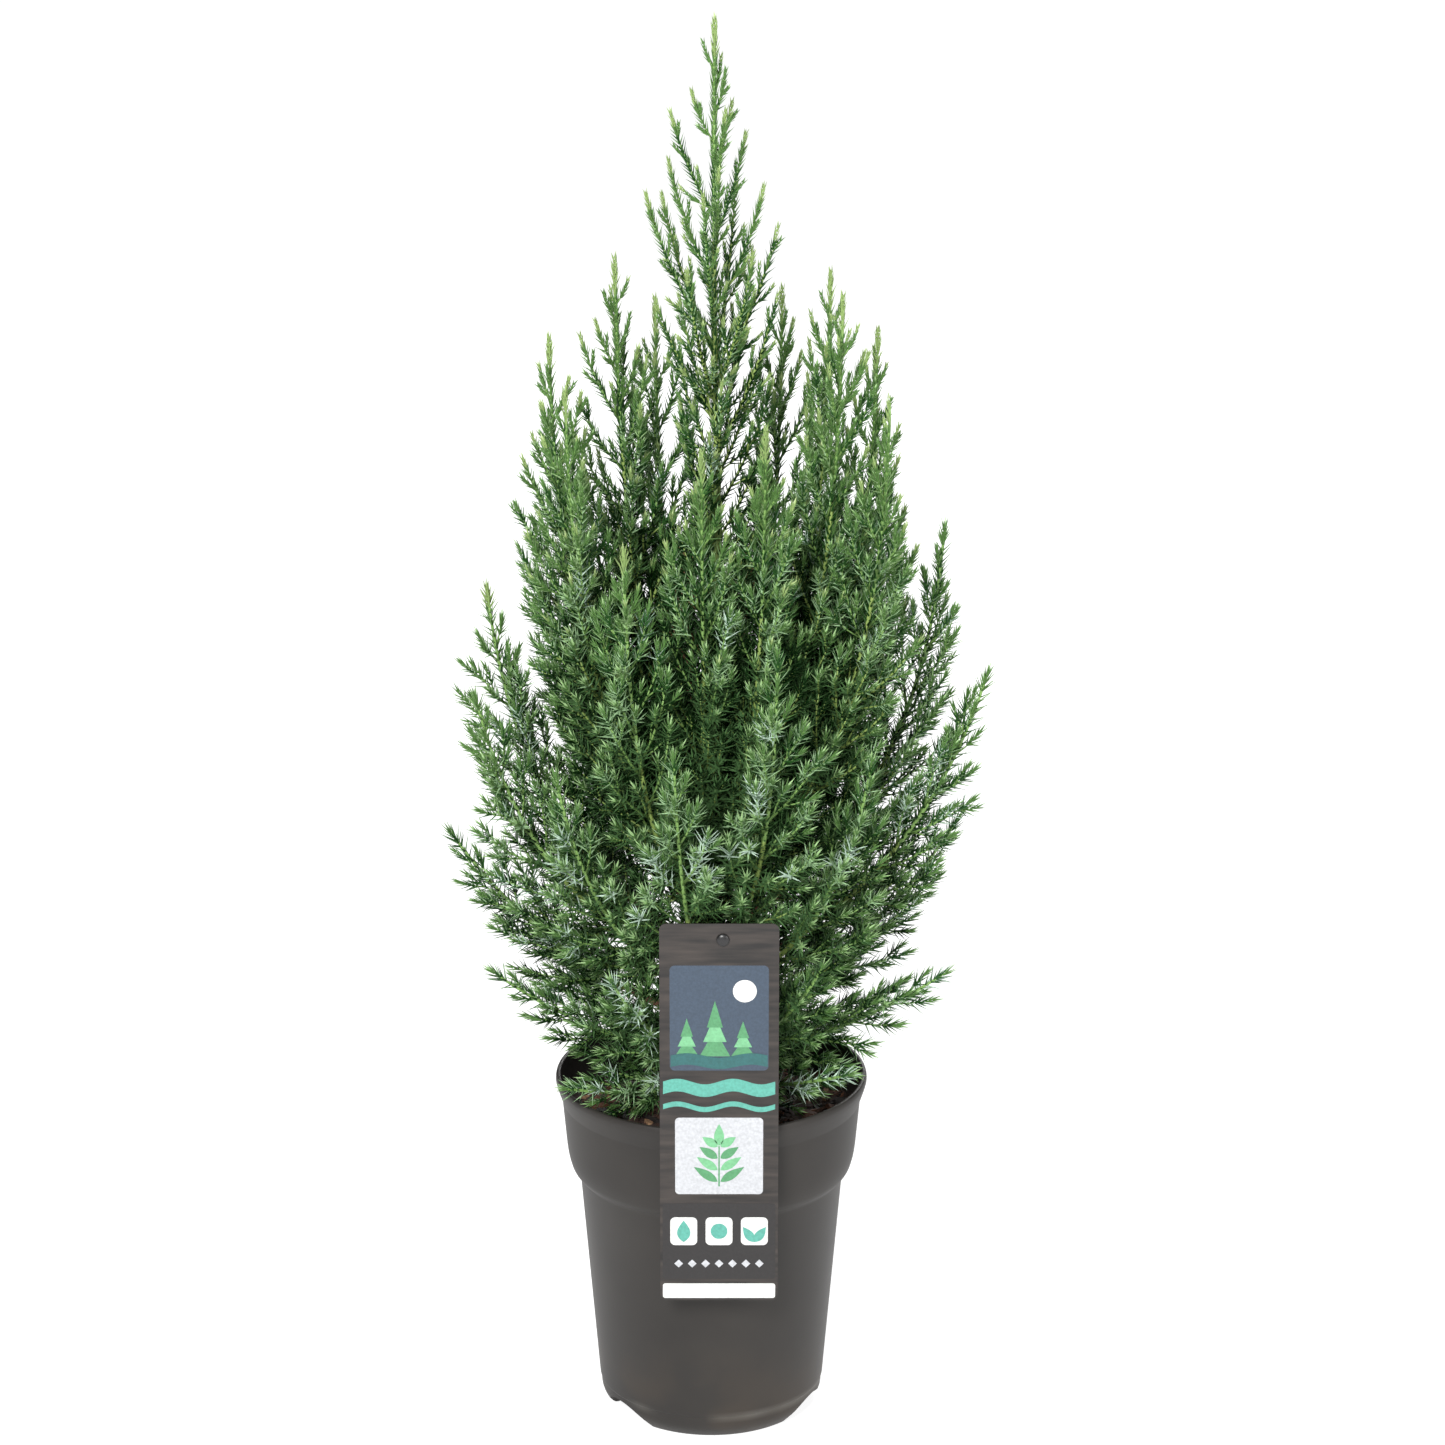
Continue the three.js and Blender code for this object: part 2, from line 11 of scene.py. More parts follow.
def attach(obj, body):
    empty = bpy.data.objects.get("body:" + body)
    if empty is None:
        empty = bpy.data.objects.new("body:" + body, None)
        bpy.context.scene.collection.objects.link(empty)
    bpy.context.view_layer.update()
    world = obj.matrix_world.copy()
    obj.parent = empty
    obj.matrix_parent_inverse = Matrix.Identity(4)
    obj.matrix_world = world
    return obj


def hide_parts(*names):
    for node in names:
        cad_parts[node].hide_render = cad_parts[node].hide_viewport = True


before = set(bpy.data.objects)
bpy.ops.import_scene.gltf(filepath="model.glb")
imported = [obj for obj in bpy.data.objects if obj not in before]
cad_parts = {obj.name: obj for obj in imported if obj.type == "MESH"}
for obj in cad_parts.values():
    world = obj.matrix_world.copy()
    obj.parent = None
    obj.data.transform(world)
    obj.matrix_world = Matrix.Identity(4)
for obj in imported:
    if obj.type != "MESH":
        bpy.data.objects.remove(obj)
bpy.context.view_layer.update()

MM = 0.001
BODY = "root"
rng = np.random.default_rng(7)

# Driving dimensions, as the construction has them, in millimetres and degrees
GAP = 0.3
SOIL_TOP = 198
SOIL_MOUND = 5
POT_HEIGHT = 216
RIM_RADIUS = 95
RIM_WALL = 3.2
TRUNK = {
    "top": 598, "base": 7.5, "tip": 2.6, "flare": 5.5, "flare_height": 9,
    "lean": 3, "sway": 4, "needles_from": 460,
}
TIP_HEIGHT = 863
LABEL = {"width": 70, "length": 240, "thick": 0.8, "corner": 4, "centre_x": 4.6, "hole": 2.6, "drop": 10}
LABEL_FRONT = -RIM_RADIUS - 0.4 - LABEL["thick"]
STUD = {"x": 6.8, "z": 337.5, "neck": 2.2, "head": 3.9, "head_thick": 1.8, "proud": 0.35}
STAKE = {"width": 8.5, "thick": 2.2, "edge": 0.5, "foot_z": 168, "foot_y": -82, "behind": 0.5}
STAKE_OVER_STUD = 5

# name, bearing (0 front, 90 right), reach from the pot's axis, height of the tip
LIMBS = [
    ("left_high", -96, 95, 675),
    ("left_front_high", -66, 92, 655),
    ("left_inner", -118, 64, 718),
    ("right_inner_back", 118, 79, 708),
    ("right_inner_front", 70, 80, 708),
    ("right_high", 98, 98, 678),
    ("right_front_high", 66, 112, 655),
    ("front_high", -5, 66, 625),
    ("front_right_high", 24, 76, 640),
    ("front_left_mid", -31, 97, 572),
    ("front_right_mid", 19, 116, 520),
    ("front_left_low", -10, 124, 462),
    ("left_front_low", -45, 128, 440),
    ("front_right_low", 49, 124, 446),
    ("right_upper_arm", 99, 140, 558),
    ("right_wide_arm", 83, 165, 480),
    ("right_low_arm", 101, 154, 372),
    ("right_lowest_arm", 72, 150, 300),
    ("left_upper_arm", -93, 133, 524),
    ("left_wide_arm", -72, 146, 474),
    ("left_low_arm", -94, 160, 370),
    ("left_lowest_arm", -70, 142, 302),
    ("front_left_lowest", -30, 120, 318),
    ("front_right_lowest", 33, 122, 326),
    ("left_rim_frond", -50, 118, 236),
    ("right_rim_frond", 50, 112, 244),
    ("back_right_high", 150, 84, 690),
    ("back_left_high", 203, 86, 682),
    ("back_right_mid", 130, 126, 584),
    ("back_mid", 180, 122, 572),
    ("back_left_mid", 227, 124, 590),
    ("back_right_low", 146, 150, 440),
    ("back_left_low", 214, 150, 432),
    ("back_lowest", 180, 140, 318),
    ("back_right_lowest", 126, 142, 284),
    ("back_left_lowest", 234, 142, 290),
]
LOWEST_FOOT = 206  # where the lowest limb leaves the trunk
FOOT_SHARE = 0.3  # a limb's foot rises by this share of its tip's height above the lowest tip
BOW_START, BOW_BY_STEEPNESS = 0.4, 0.2  # how far out a limb bends, as a share of its reach
BOW_LEAST, BOW_MOST = 0.5, 0.98
BEND_RISE = 0.24
BARE_SHARE = 0.26  # of a limb's line, where that is a bare bough
STEEPEST, FLATTEST = 4.4, 1.06  # limbs between these have a bough of their own
BOUGH_RADIUS, BOUGH_TIP = 3.4, 1.7
LEADER_TIP_X, LEADER_BOW = 2, -1.5

# The crown's outline: heights, and how far it reaches from the axis at each
CROWN_HEIGHTS = (200, 250, 300, 370, 480, 515, 560, 600, 680, 720, 760, 800, 863)
CROWN_REACHES = (104, 128, 152, 162, 165, 143, 138, 115, 99, 74, 46, 27, 8)
TURN = 124.4  # between one twig of the spiral and the next
SHARE = 0.5  # a twig's length, as a share of the stem above it
ANGLE, ANGLE_SPREAD, LIFT = 33, 10, 0.3
SPACING = 10
LONGEST, CROWN_LONGEST = 66, 112
FIT_SHARES = (1, 0.82, 0.66, 0.52, 0.4)
FIRST_SHORTEST = 15
SHORTEST_OF_ALL = 7
CLEAR, BERTH = 0.9, 3

# The finer growth that only shows here. A pair is a value low in the crown and one high up
STEM_BARE_TIP = 26  # leader above its last twig
LEADER_SPACING = 14
BETWEEN = {"bare_tip": 190, "seed": 300}  # the twigs between those of the first spiral, below the leader
TWIG = {"from": 24, "spacing": (10.5, 11), "bare_tip": 12, "rise": 0.4, "shortest": (17, 9)}
SPRIG = {"from": 44, "spacing": (14, 22), "bare_tip": 14, "rise": 0.5, "shortest": (13, 9)}
SIDE_SHARE = (0.5, 0.3)  # a finer shoot's length, as a share of the shoot above it
BOUGH_TWIGS = {"from": 0.09, "spacing": 9, "seed": 500}
TRUNK_TWIGS = {"bottom": 300, "spacing": 6.5, "seed": 700, "longest": 74}
OVERLAP = 7  # how far a twig may pass the middle between its own stem and the next

UP = np.array((0.0, 0.0, 1.0))


# Small tools


def unit(v):
    return v / np.linalg.norm(v, axis=-1, keepdims=True)


def smooth(low, high, x):
    t = np.clip((x - low) / (high - low), 0, 1)
    return t * t * (3 - 2 * t)


def blend(a, b, t):
    return a + (b - a) * t


def running(steps):
    """The sum of all steps before each place, and then of all."""
    return np.concatenate([[0], np.cumsum(steps)])


def height_share(z):
    return smooth(430, 720, z)


def by_height(pair, high):
    return blend(*pair, high)


def chance(seed, choice):
    """A repeatable number from 0 to 1 for one choice on one shoot."""
    s = np.sin(seed * 12.9898 + choice * 78.233) * 43758.5453
    return s - np.floor(s)


def across(along, side, angle):
    """The direction across a line, at an angle from its side."""
    first = unit(side - along * np.sum(side * along, axis=-1, keepdims=True))
    second = np.cross(along, first)
    return first * np.cos(angle)[..., None] + second * np.sin(angle)[..., None]


def outward(bearing):
    b = math.radians(bearing)
    return np.array((math.sin(b), -math.cos(b), 0.0))


def new_object(name, data, materials=(), slot=None, replaces=()):
    obj = bpy.data.objects.new(name, data)
    bpy.context.scene.collection.objects.link(obj)
    for material in materials:
        data.materials.append(material)
    if slot:
        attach(obj, BODY)
    if replaces:
        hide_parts(*replaces)
    return obj


def piece(name, shape, materials=(), slot=None, replaces=(), looks=None, smooth_shading=False):
    """A mesh object from points in mm and blocks of faces, each of three or of four corners."""
    points, *blocks = shape
    points = np.asarray(points, dtype=np.float32) * MM
    blocks = [np.asarray(block, dtype=np.int32) for block in blocks]
    corners = np.concatenate([block.ravel() for block in blocks])
    sizes = np.concatenate([np.full(len(block), block.shape[1]) for block in blocks])
    mesh = bpy.data.meshes.new(name)
    mesh.vertices.add(len(points))
    mesh.vertices.foreach_set("co", points.ravel())
    mesh.loops.add(len(corners))
    mesh.loops.foreach_set("vertex_index", corners)
    mesh.polygons.add(len(sizes))
    mesh.polygons.foreach_set("loop_start", running(sizes)[:-1].astype(np.int32))
    if looks is not None:
        mesh.polygons.foreach_set("material_index", np.asarray(looks, dtype=np.int32))
    mesh.polygons.foreach_set("use_smooth", np.full(len(sizes), smooth_shading))
    mesh.update(calc_edges=True)
    mesh.validate()
    return new_object(name, mesh, materials, slot, replaces)


def skin_faces(rings, corners, first=0):
    """Faces of four corners between rings of points that follow each other."""
    faces = []
    for k in range(rings - 1):
        for c in range(corners):
            a, d = first + k * corners, (c + 1) % corners
            faces.append((a + c, a + d, a + corners + d, a + corners + c))
    return np.array(faces)


def end_faces(rings, corners, foot, tip, first=0):
    """Triangles from the first of such rings to a foot point and from the last to a tip point."""
    last = first + (rings - 1) * corners
    turns = [(c, (c + 1) % corners) for c in range(corners)]
    near = [(first + d, first + c, foot) for c, d in turns]
    return np.array(near + [(last + c, last + d, tip) for c, d in turns])


def shader_input(material, name):
    return material.node_tree.nodes["Principled BSDF"].inputs[name]


def plain_material(name, colour, roughness, **inputs):
    material = bpy.data.materials.new(name)
    material.use_nodes = True
    shader_input(material, "Base Color").default_value = (*colour, 1)
    shader_input(material, "Roughness").default_value = roughness
    for key, value in inputs.items():
        shader_input(material, key.replace("_", " ")).default_value = value
    return material


def add_node(material, kind, inputs=(), **settings):
    """A shader node. Its inputs go by name or place, and are values or other nodes' outputs."""
    tree = material.node_tree
    node = tree.nodes.new("ShaderNode" + kind)
    for key, value in settings.items():
        setattr(node, key, value)
    for key, value in dict(inputs).items():
        if isinstance(value, bpy.types.NodeSocket):
            tree.links.new(value, node.inputs[key])
        else:
            node.inputs[key].default_value = value
    return node


def ramp(material, driver, stops):
    """Colours by the driver's value, from (value, colour) in rising order."""
    node = add_node(material, "ValToRGB", {"Fac": driver})
    elements = node.color_ramp.elements
    for k, (value, colour) in enumerate(stops):
        stop = elements[k] if k < 2 else elements.new(value)
        stop.position, stop.color = value, (*colour, 1)
    return node.outputs["Color"]


def grained(name, stretch, stops, roughness, detail=5, bump=None):
    """A material whose colour follows a stretched noise. A bump is its strength and its depth in mm."""
    material = plain_material(name, stops[0][1], roughness)
    links = material.node_tree.links
    place = add_node(material, "TexCoord").outputs["Object"]
    stretched = add_node(material, "Mapping", {"Vector": place, "Scale": stretch}).outputs["Vector"]
    noise_inputs = {"Vector": stretched, "Scale": 1, "Detail": detail}
    grain = add_node(material, "TexNoise", noise_inputs).outputs["Fac"]
    links.new(ramp(material, grain, stops), shader_input(material, "Base Color"))
    if bump:
        bump_inputs = {"Strength": bump[0], "Distance": bump[1] * MM, "Height": grain}
        normal = add_node(material, "Bump", bump_inputs).outputs["Normal"]
        links.new(normal, shader_input(material, "Normal"))
    return material


def tinted(material, colour, shares, patch=None):
    """Mixes in another colour by (height, share) in rising order, in patches of a noise if asked."""
    base = shader_input(material, "Base Color")
    place = add_node(material, "TexCoord").outputs["Object"]
    height = add_node(material, "SeparateXYZ", {"Vector": place}).outputs["Z"]
    share = ramp(material, height, [(z * MM, (s, s, s)) for z, s in shares])
    if patch:
        spots = add_node(material, "TexNoise", {"Vector": place, "Scale": patch}).outputs["Fac"]
        edge_inputs = {"Value": spots, "From Min": 0.45, "From Max": 0.6}
        edge = add_node(material, "MapRange", edge_inputs).outputs["Result"]
        share = add_node(material, "Math", {0: share, 1: edge}, operation="MULTIPLY").outputs[0]
    mix_inputs = {"Factor": share, "A": base.links[0].from_socket, "B": (*colour, 1)}
    mix = add_node(material, "Mix", mix_inputs, data_type="RGBA")
    material.node_tree.links.new(mix.outputs["Result"], base)


# The lines that everything grows along


def trunk_centre(z):
    u = (z - SOIL_TOP) / (TRUNK["top"] - SOIL_TOP)
    return np.stack([TRUNK["lean"] * u, TRUNK["sway"] * np.sin(np.pi * u), z * np.ones_like(u)], axis=-1)


def trunk_radius(z):
    u = np.clip((z - SOIL_TOP) / (TRUNK["top"] - SOIL_TOP), 0, 1)
    flare = TRUNK["flare"] * np.exp(-(z - SOIL_TOP) / TRUNK["flare_height"])
    return blend(TRUNK["base"], TRUNK["tip"], u) + flare


class Line:
    """A limb's line from the trunk to its tip, and its leafy stretch by distance."""

    def __init__(self, name, seed, start, bend, end, out, bare, longest):
        self.name, self.seed, self.bare, self.longest = name, seed, bare, longest
        self.start, self.bend, self.end = start, bend, end
        self.side = np.cross(UP, out)
        self.shares = np.linspace(BARE_SHARE if bare else 0, 1, 61)
        self.points = self.point(self.shares)
        self.lengths = running(np.linalg.norm(np.diff(self.points, axis=0), axis=1))
        self.total = self.lengths[-1]

    def point(self, t):
        t = np.asarray(t, dtype=float)[..., None]
        return (1 - t) ** 2 * self.start + 2 * t * (1 - t) * self.bend + t * t * self.end

    def direction(self, t):
        t = np.asarray(t, dtype=float)[..., None]
        return unit((1 - t) * (self.bend - self.start) + t * (self.end - self.bend))

    def at(self, distance):
        return self.point(np.interp(distance, self.lengths, self.shares))

    def tangent(self, distance):
        return self.direction(np.interp(distance, self.lengths, self.shares))


def limb_line(index, name, bearing, reach, top):
    steep = (top - SOIL_TOP) / reach
    lowest = min(limb[3] for limb in LIMBS)
    start = trunk_centre(np.float64(LOWEST_FOOT + FOOT_SHARE * (top - lowest)))
    out = outward(bearing)
    bow = min(max(BOW_START + BOW_BY_STEEPNESS * steep, BOW_LEAST), BOW_MOST) * reach
    bend = start + out * bow + UP * BEND_RISE * (top - start[2])
    end = out * reach + UP * top
    bare = FLATTEST < steep < STEEPEST
    return Line(name, index + 1, start, bend, end, out, bare, LONGEST)


def leader_line():
    start = trunk_centre(np.float64(TRUNK["top"] + GAP))
    end = np.array((LEADER_TIP_X, 0, TIP_HEIGHT))
    bend = (start + end) / 2 + np.array((LEADER_BOW, 0, 0))
    return Line("crown_top", 0, start, bend, end, outward(0), False, CROWN_LONGEST)


lines = [leader_line()] + [limb_line(i, *limb) for i, limb in enumerate(LIMBS)]

PIECES = [line.name for line in lines] + ["trunk"]


# Space


def tree_of(points):
    tree = kdtree.KDTree(len(points))
    for i, p in enumerate(points):
        tree.insert(p, i)
    tree.balance()
    return tree


stem_tree = tree_of(np.concatenate([line.points for line in lines]))
trunk_tree = tree_of(trunk_centre(np.linspace(SOIL_TOP, TRUNK["top"], 80)))
bough_tree = tree_of(
    np.concatenate([line.point(np.linspace(0, BARE_SHARE, 40)) for line in lines if line.bare])
)


def crown_radius(z):
    return np.interp(z, CROWN_HEIGHTS, CROWN_REACHES, right=0)


def meets_pot_or_label(p, berth=BERTH):
    x, y, z = p[..., 0], p[..., 1], p[..., 2]
    radius = np.hypot(x, y)
    in_soil = z < SOIL_TOP + berth
    in_wall = (z < POT_HEIGHT + berth) & (radius > RIM_RADIUS - RIM_WALL - 2 * berth)
    low = z < STUD["z"] + LABEL["drop"] + berth
    in_label = low & (y < STAKE["foot_y"]) & (np.abs(x - LABEL["centre_x"]) < LABEL["width"] / 2 + berth)
    return in_soil | in_wall | in_label


def keeps_to_its_space(points, limb):
    """Whether each point is inside the crown, near to its own limb's stem and clear of the wood."""
    radius = np.hypot(points[:, 0], points[:, 1])
    fits = ~meets_pot_or_label(points) & (radius < crown_radius(points[:, 2]))
    for i in np.flatnonzero(fits):
        p = points[i]
        in_trunk = trunk_tree.find(p)[2] < TRUNK["base"] + CLEAR
        fits[i] = not (in_trunk or bough_tree.find(p)[2] < BOUGH_RADIUS + CLEAR)
        if fits[i] and limb[i] < len(lines):
            own = np.sqrt(np.min(np.sum((lines[limb[i]].points - p) ** 2, axis=1)))
            fits[i] = own < stem_tree.find(p)[2] + OVERLAP
    return fits


# Shoots


class Shoots:
    """Many side shoots at once. Each is a line by distance from its foot, bending up its stem's way."""

    def __init__(self, **traits):
        self.traits = traits
        self.__dict__.update(traits)
        self.count = len(self.total)
        self.side = unit(np.cross(self.along, self.outward))

    def pick(self, which):
        return Shoots(**{key: value[which] for key, value in self.traits.items()})

    def towards(self, lean):
        return self.along * np.cos(lean)[:, None] + self.outward * np.sin(lean)[:, None]

    def at(self, distance):
        lean = self.angle * (1 - LIFT * distance / self.total)
        return self.start + distance[:, None] * self.towards(lean)

    def tangent(self, distance):
        return self.towards(self.angle * (1 - 2 * LIFT * distance / self.total))


def joined(groups):
    keys = groups[0].traits
    return Shoots(**{key: np.concatenate([g.traits[key] for g in groups]) for key in keys})


def numbered(counts):
    """Which shoot and which place on it, for every place."""
    owner = np.repeat(np.arange(len(counts)), counts)
    return owner, np.arange(len(owner)) - running(counts)[owner]


def places_along(totals, spacing, bare_tip):
    """Which shoot, which place in its spiral and how far along, for every place on every shoot."""
    spacing = np.broadcast_to(spacing, np.shape(totals))
    counts = np.maximum(np.ceil((totals - bare_tip) / spacing - 0.5), 0).astype(int)
    owner, i = numbered(counts)
    return owner, i, (i + 0.5) * spacing[owner]


def grow(seed, limb, total, side, places, longest, shortest, ripe, share=SHARE, rise=0):
    """The shoots that leave others at their places in the spiral, and turn upwards by a share."""
    i, distance, start, along = places
    seed, limb, longest = (np.broadcast_to(value, len(i)) for value in (seed, limb, longest))
    turn = np.radians(TURN * i + 360 * chance(seed, 0))
    outward = across(along, side, turn)
    outward = outward + rise * (UP - along * along[:, 2:])
    most = longest * (0.85 + 0.3 * chance(seed, 3 * i + 1))
    grown = share * (total - distance) * (0.8 + 0.4 * chance(seed, 3 * i + 2))
    return Shoots(
        seed=seed * 7 + i + 1,
        limb=limb,
        start=start,
        along=along,
        outward=unit(outward),
        angle=np.radians(ANGLE + ANGLE_SPREAD * (chance(seed, 3 * i + 3) - 0.5)),
        total=np.minimum(np.maximum(grown, shortest), most),
        longest=longest,
        ripe=ripe,
    )


def shoots_on(line, limb, places, seed, longest, above_all):
    """First shoots at places on a stem, a bough or the trunk."""
    ripe = above_all - places[1]
    return grow(seed, limb, above_all, line.side, places, longest, FIRST_SHORTEST, ripe)


def stem_shoots(limb, line):
    """The source's spiral of twigs, and below the leader a second one between its twigs."""
    groups = []
    spacing = LEADER_SPACING if limb == 0 else SPACING
    for shift, bare_tip, seed in ((0, STEM_BARE_TIP, 0), (0.5, BETWEEN["bare_tip"], BETWEEN["seed"])):
        _, i, distance = places_along(np.array([line.total]), spacing, bare_tip)
        distance = distance + shift * spacing
        places = i, distance, line.at(distance), line.tangent(distance)
        groups.append(shoots_on(line, limb, places, line.seed + seed, line.longest, line.total))
    return joined(groups)


def bough_shoots(limb, line):
    shares = np.linspace(BOUGH_TWIGS["from"], BARE_SHARE, 20)
    lengths = running(np.linalg.norm(np.diff(line.point(shares), axis=0), axis=1))
    _, i, distance = places_along(lengths[-1:], BOUGH_TWIGS["spacing"], 0)
    t = np.interp(distance, lengths, shares)
    places = i, distance, line.point(t), line.direction(t)
    seed = BOUGH_TWIGS["seed"] + line.seed
    return shoots_on(line, limb, places, seed, LONGEST, lengths[-1] + line.total)


def trunk_shoots():
    bottom, longest = TRUNK_TWIGS["bottom"], TRUNK_TWIGS["longest"]
    _, i, distance = places_along(np.array([TRUNK["top"] - bottom]), TRUNK_TWIGS["spacing"], 0)
    start = trunk_centre(bottom + distance)
    along = unit(trunk_centre(bottom + distance + 1) - start)
    places = i, distance, start, along
    return shoots_on(lines[0], len(lines), places, TRUNK_TWIGS["seed"], longest, TIP_HEIGHT - bottom)


def side_shoots(parents, rule):
    big = parents.pick(parents.total > rule["from"])
    spacing = by_height(rule["spacing"], height_share(big.start[:, 2]))
    owner, i, distance = places_along(big.total, spacing, rule["bare_tip"])
    own = big.pick(owner)
    high = height_share(own.start[:, 2])
    places = i, distance, own.at(distance), own.tangent(distance)
    ripe = own.ripe + 0.5 * (own.total - distance)
    sizes = own.longest / 2, by_height(rule["shortest"], high)
    share = by_height(SIDE_SHARE, high)
    return grow(own.seed, own.limb, own.total, own.side, places, *sizes, ripe, share, rule["rise"])


def fitted(shoots, shortest):
    """Each shoot in the longest form that keeps to its own space, without those that have none."""
    total = np.zeros(shoots.count)
    for share in FIT_SHARES:
        which = np.flatnonzero((total == 0) & (shoots.total * share >= shortest))
        for part in (0.45, 0.75, 1):
            some = shoots.pick(which)
            some.total = some.total * share
            which = which[keeps_to_its_space(some.at(some.total * part), some.limb)]
        total[which] = shoots.total[which] * share
    kept = total > 0
    return Shoots(**(shoots.pick(kept).traits | {"total": total[kept]}))


wood_shoots = [bough_shoots(k, line) for k, line in enumerate(lines) if line.bare] + [trunk_shoots()]
leafy_shoots = [stem_shoots(k, line) for k, line in enumerate(lines)]
first_order = fitted(joined(leafy_shoots + wood_shoots), FIRST_SHORTEST - 2)
second_order = fitted(side_shoots(first_order, TWIG), SHORTEST_OF_ALL)
third_order = fitted(side_shoots(second_order, SPRIG), SHORTEST_OF_ALL)
shoots = joined([first_order, second_order, third_order])


# Needles

TIP_ZONE = 11  # the close new needles at the end of each shoot
TIP_GAP = 2.2  # between whorls there
NEEDLE_GAP = (4.0, 2.8)
SHOOT_ENDS, STEM_ENDS = (3, 1.2), (4, 3.6)  # without needles at the foot and at the tip
TRUNK_GAP = 3
NEEDLE_LENGTH = (11.6, 7.8)
TIP_LENGTH = (0.66, 0.56)  # at the tip, as a share of the full length
LENGTH_BY = (14, 24)  # distance from the tip by which the needles are full
WEAK_LENGTH = 0.85  # on the shortest shoots, as a share
NEEDLE_WIDTH = (1.5, 1.6)
NEEDLE_SPREAD = (50, 33)  # degrees from the shoot, on its older part
SPREAD_BY = (18, 27)  # distance from the tip by which the needles have spread
TIP_SPREAD = (13, 16)
STEM_CLOSE = 0.35  # how much less they spread on a stem's high end
KEEL = 0.45  # a needle's depth, as a share of its width
SCATTER = {"turn": 0.12, "lean": 0.1, "length": (0.85, 1.1)}
PAST_OUTLINE = 6  # how far a needle's tip may pass the crown's outline
DEEP = (135, 300)  # this far inside the crown's outline the foliage is at its darkest

# A whorl's tone, which decides how shaded its colours are: what adds to it, and by how much
AGE_TONE, DEPTH_TONE, LOW_TONE = (14, 120), (0.15, 0.8), (450, 300)
TONE = {"depth": 1.3, "luck": 0.8, "not_high": 0.45, "low": 0.68, "stem": -0.7}
FRESH_BELOW, GREEN_BELOW = 0.85, 1.65
OPEN, PALE_OPEN = 0.6, 0.45  # less deep than this, new growth and bloom show
PALE_SHARE, PALE_FADES = 0.13, 0.7  # of the sprays with a blue-white bloom, and fewer high up
NEW_SHARE = (0.08, 0.9)  # of the sprays with new growth at the tip
NEW_ON_STEM = 16

# Base colours of the upper and the lower face of a needle, from new growth to the shaded inside
NEW, FRESH, GREEN, BLUE_GREEN, SHADED = range(5)
TINTS = [
    ("new", (0.38, 0.48, 0.22), (0.22, 0.32, 0.11)),
    ("fresh", (0.295, 0.45, 0.205), (0.08, 0.17, 0.045)),
    ("green", (0.295, 0.46, 0.245), (0.019, 0.068, 0.014)),
    ("blue_green", (0.50, 0.65, 0.53), (0.028, 0.09, 0.024)),
    ("shaded", (0.065, 0.14, 0.048), (0.005, 0.024, 0.004)),
]


def needle_materials():
    made = []
    for name, upper, lower in TINTS:
        made.append(plain_material("needle_" + name + "_upper", upper, 0.5, Specular_IOR_Level=0.15))
        made.append(plain_material("needle_" + name + "_lower", lower, 0.5, Specular_IOR_Level=0.1))
    return made


def whorl_places(totals, gap, foot, tip):
    """Which shoot, which place and how far from foot and tip, for every whorl."""
    old_count = np.floor(np.maximum(totals - TIP_ZONE - foot, 0) / gap).astype(int)
    new_count = int(TIP_ZONE / TIP_GAP) + 1
    owner, k = numbered(old_count + new_count)
    from_tip = np.where(k < new_count, k * TIP_GAP + tip, TIP_ZONE + (k - new_count) * gap[owner])
    distance = totals[owner] - from_tip
    keep = distance > 1
    return owner[keep], k[keep], distance[keep], from_tip[keep]


def whorl_rows(centre, along, side, **traits):
    """The values of many whorls. A single value stands for all of them."""
    n = len(centre)
    rows = {key: np.broadcast_to(value, n) for key, value in traits.items()}
    rows["centre"] = centre
    rows["along"] = np.broadcast_to(along, (n, 3))
    rows["side"] = np.broadcast_to(side, (n, 3))
    return rows


def shoot_whorls():
    gap = by_height(NEEDLE_GAP, height_share(shoots.start[:, 2]))
    owner, k, distance, from_tip = whorl_places(shoots.total, gap, *SHOOT_ENDS)
    own = shoots.pick(owner)
    traits = dict(k=k, from_tip=from_tip, ripe=own.ripe, limb=own.limb, seed=own.seed)
    traits.update(vigour=smooth(8, 40, own.total), leads=0, girth=0.4)
    return whorl_rows(own.at(distance), own.tangent(distance), own.side, **traits)


def stem_whorls(limb, line):
    gap = by_height(NEEDLE_GAP, height_share(line.end[2]))
    _, k, distance, from_tip = whorl_places(np.array([line.total]), np.array([gap]), *STEM_ENDS)
    traits = dict(k=k, from_tip=from_tip, ripe=0.2 * from_tip, limb=limb, seed=line.seed)
    traits.update(vigour=1, leads=1, girth=blend(0.7, BOUGH_TIP, from_tip / line.total))
    return whorl_rows(line.at(distance), line.tangent(distance), line.side, **traits)


def trunk_whorls():
    """The needles that the trunk's green upper end still carries."""
    z = np.arange(TRUNK["needles_from"], TRUNK["top"], TRUNK_GAP, dtype=float)
    traits = dict(k=np.arange(len(z)), from_tip=TIP_HEIGHT - z, ripe=60, limb=len(lines), seed=3)
    traits.update(vigour=1, leads=0, girth=trunk_radius(z))
    return whorl_rows(trunk_centre(z), UP, (1, 0, 0), **traits)


def whorls():
    """Every whorl of needles: its centre, axis, side, place in its shoot and limb."""
    on_stems = [stem_whorls(k, line) for k, line in enumerate(lines)]
    rows = [shoot_whorls(), *on_stems, trunk_whorls()]
    return {key: np.concatenate([row[key] for row in rows]) for key in rows[0]}


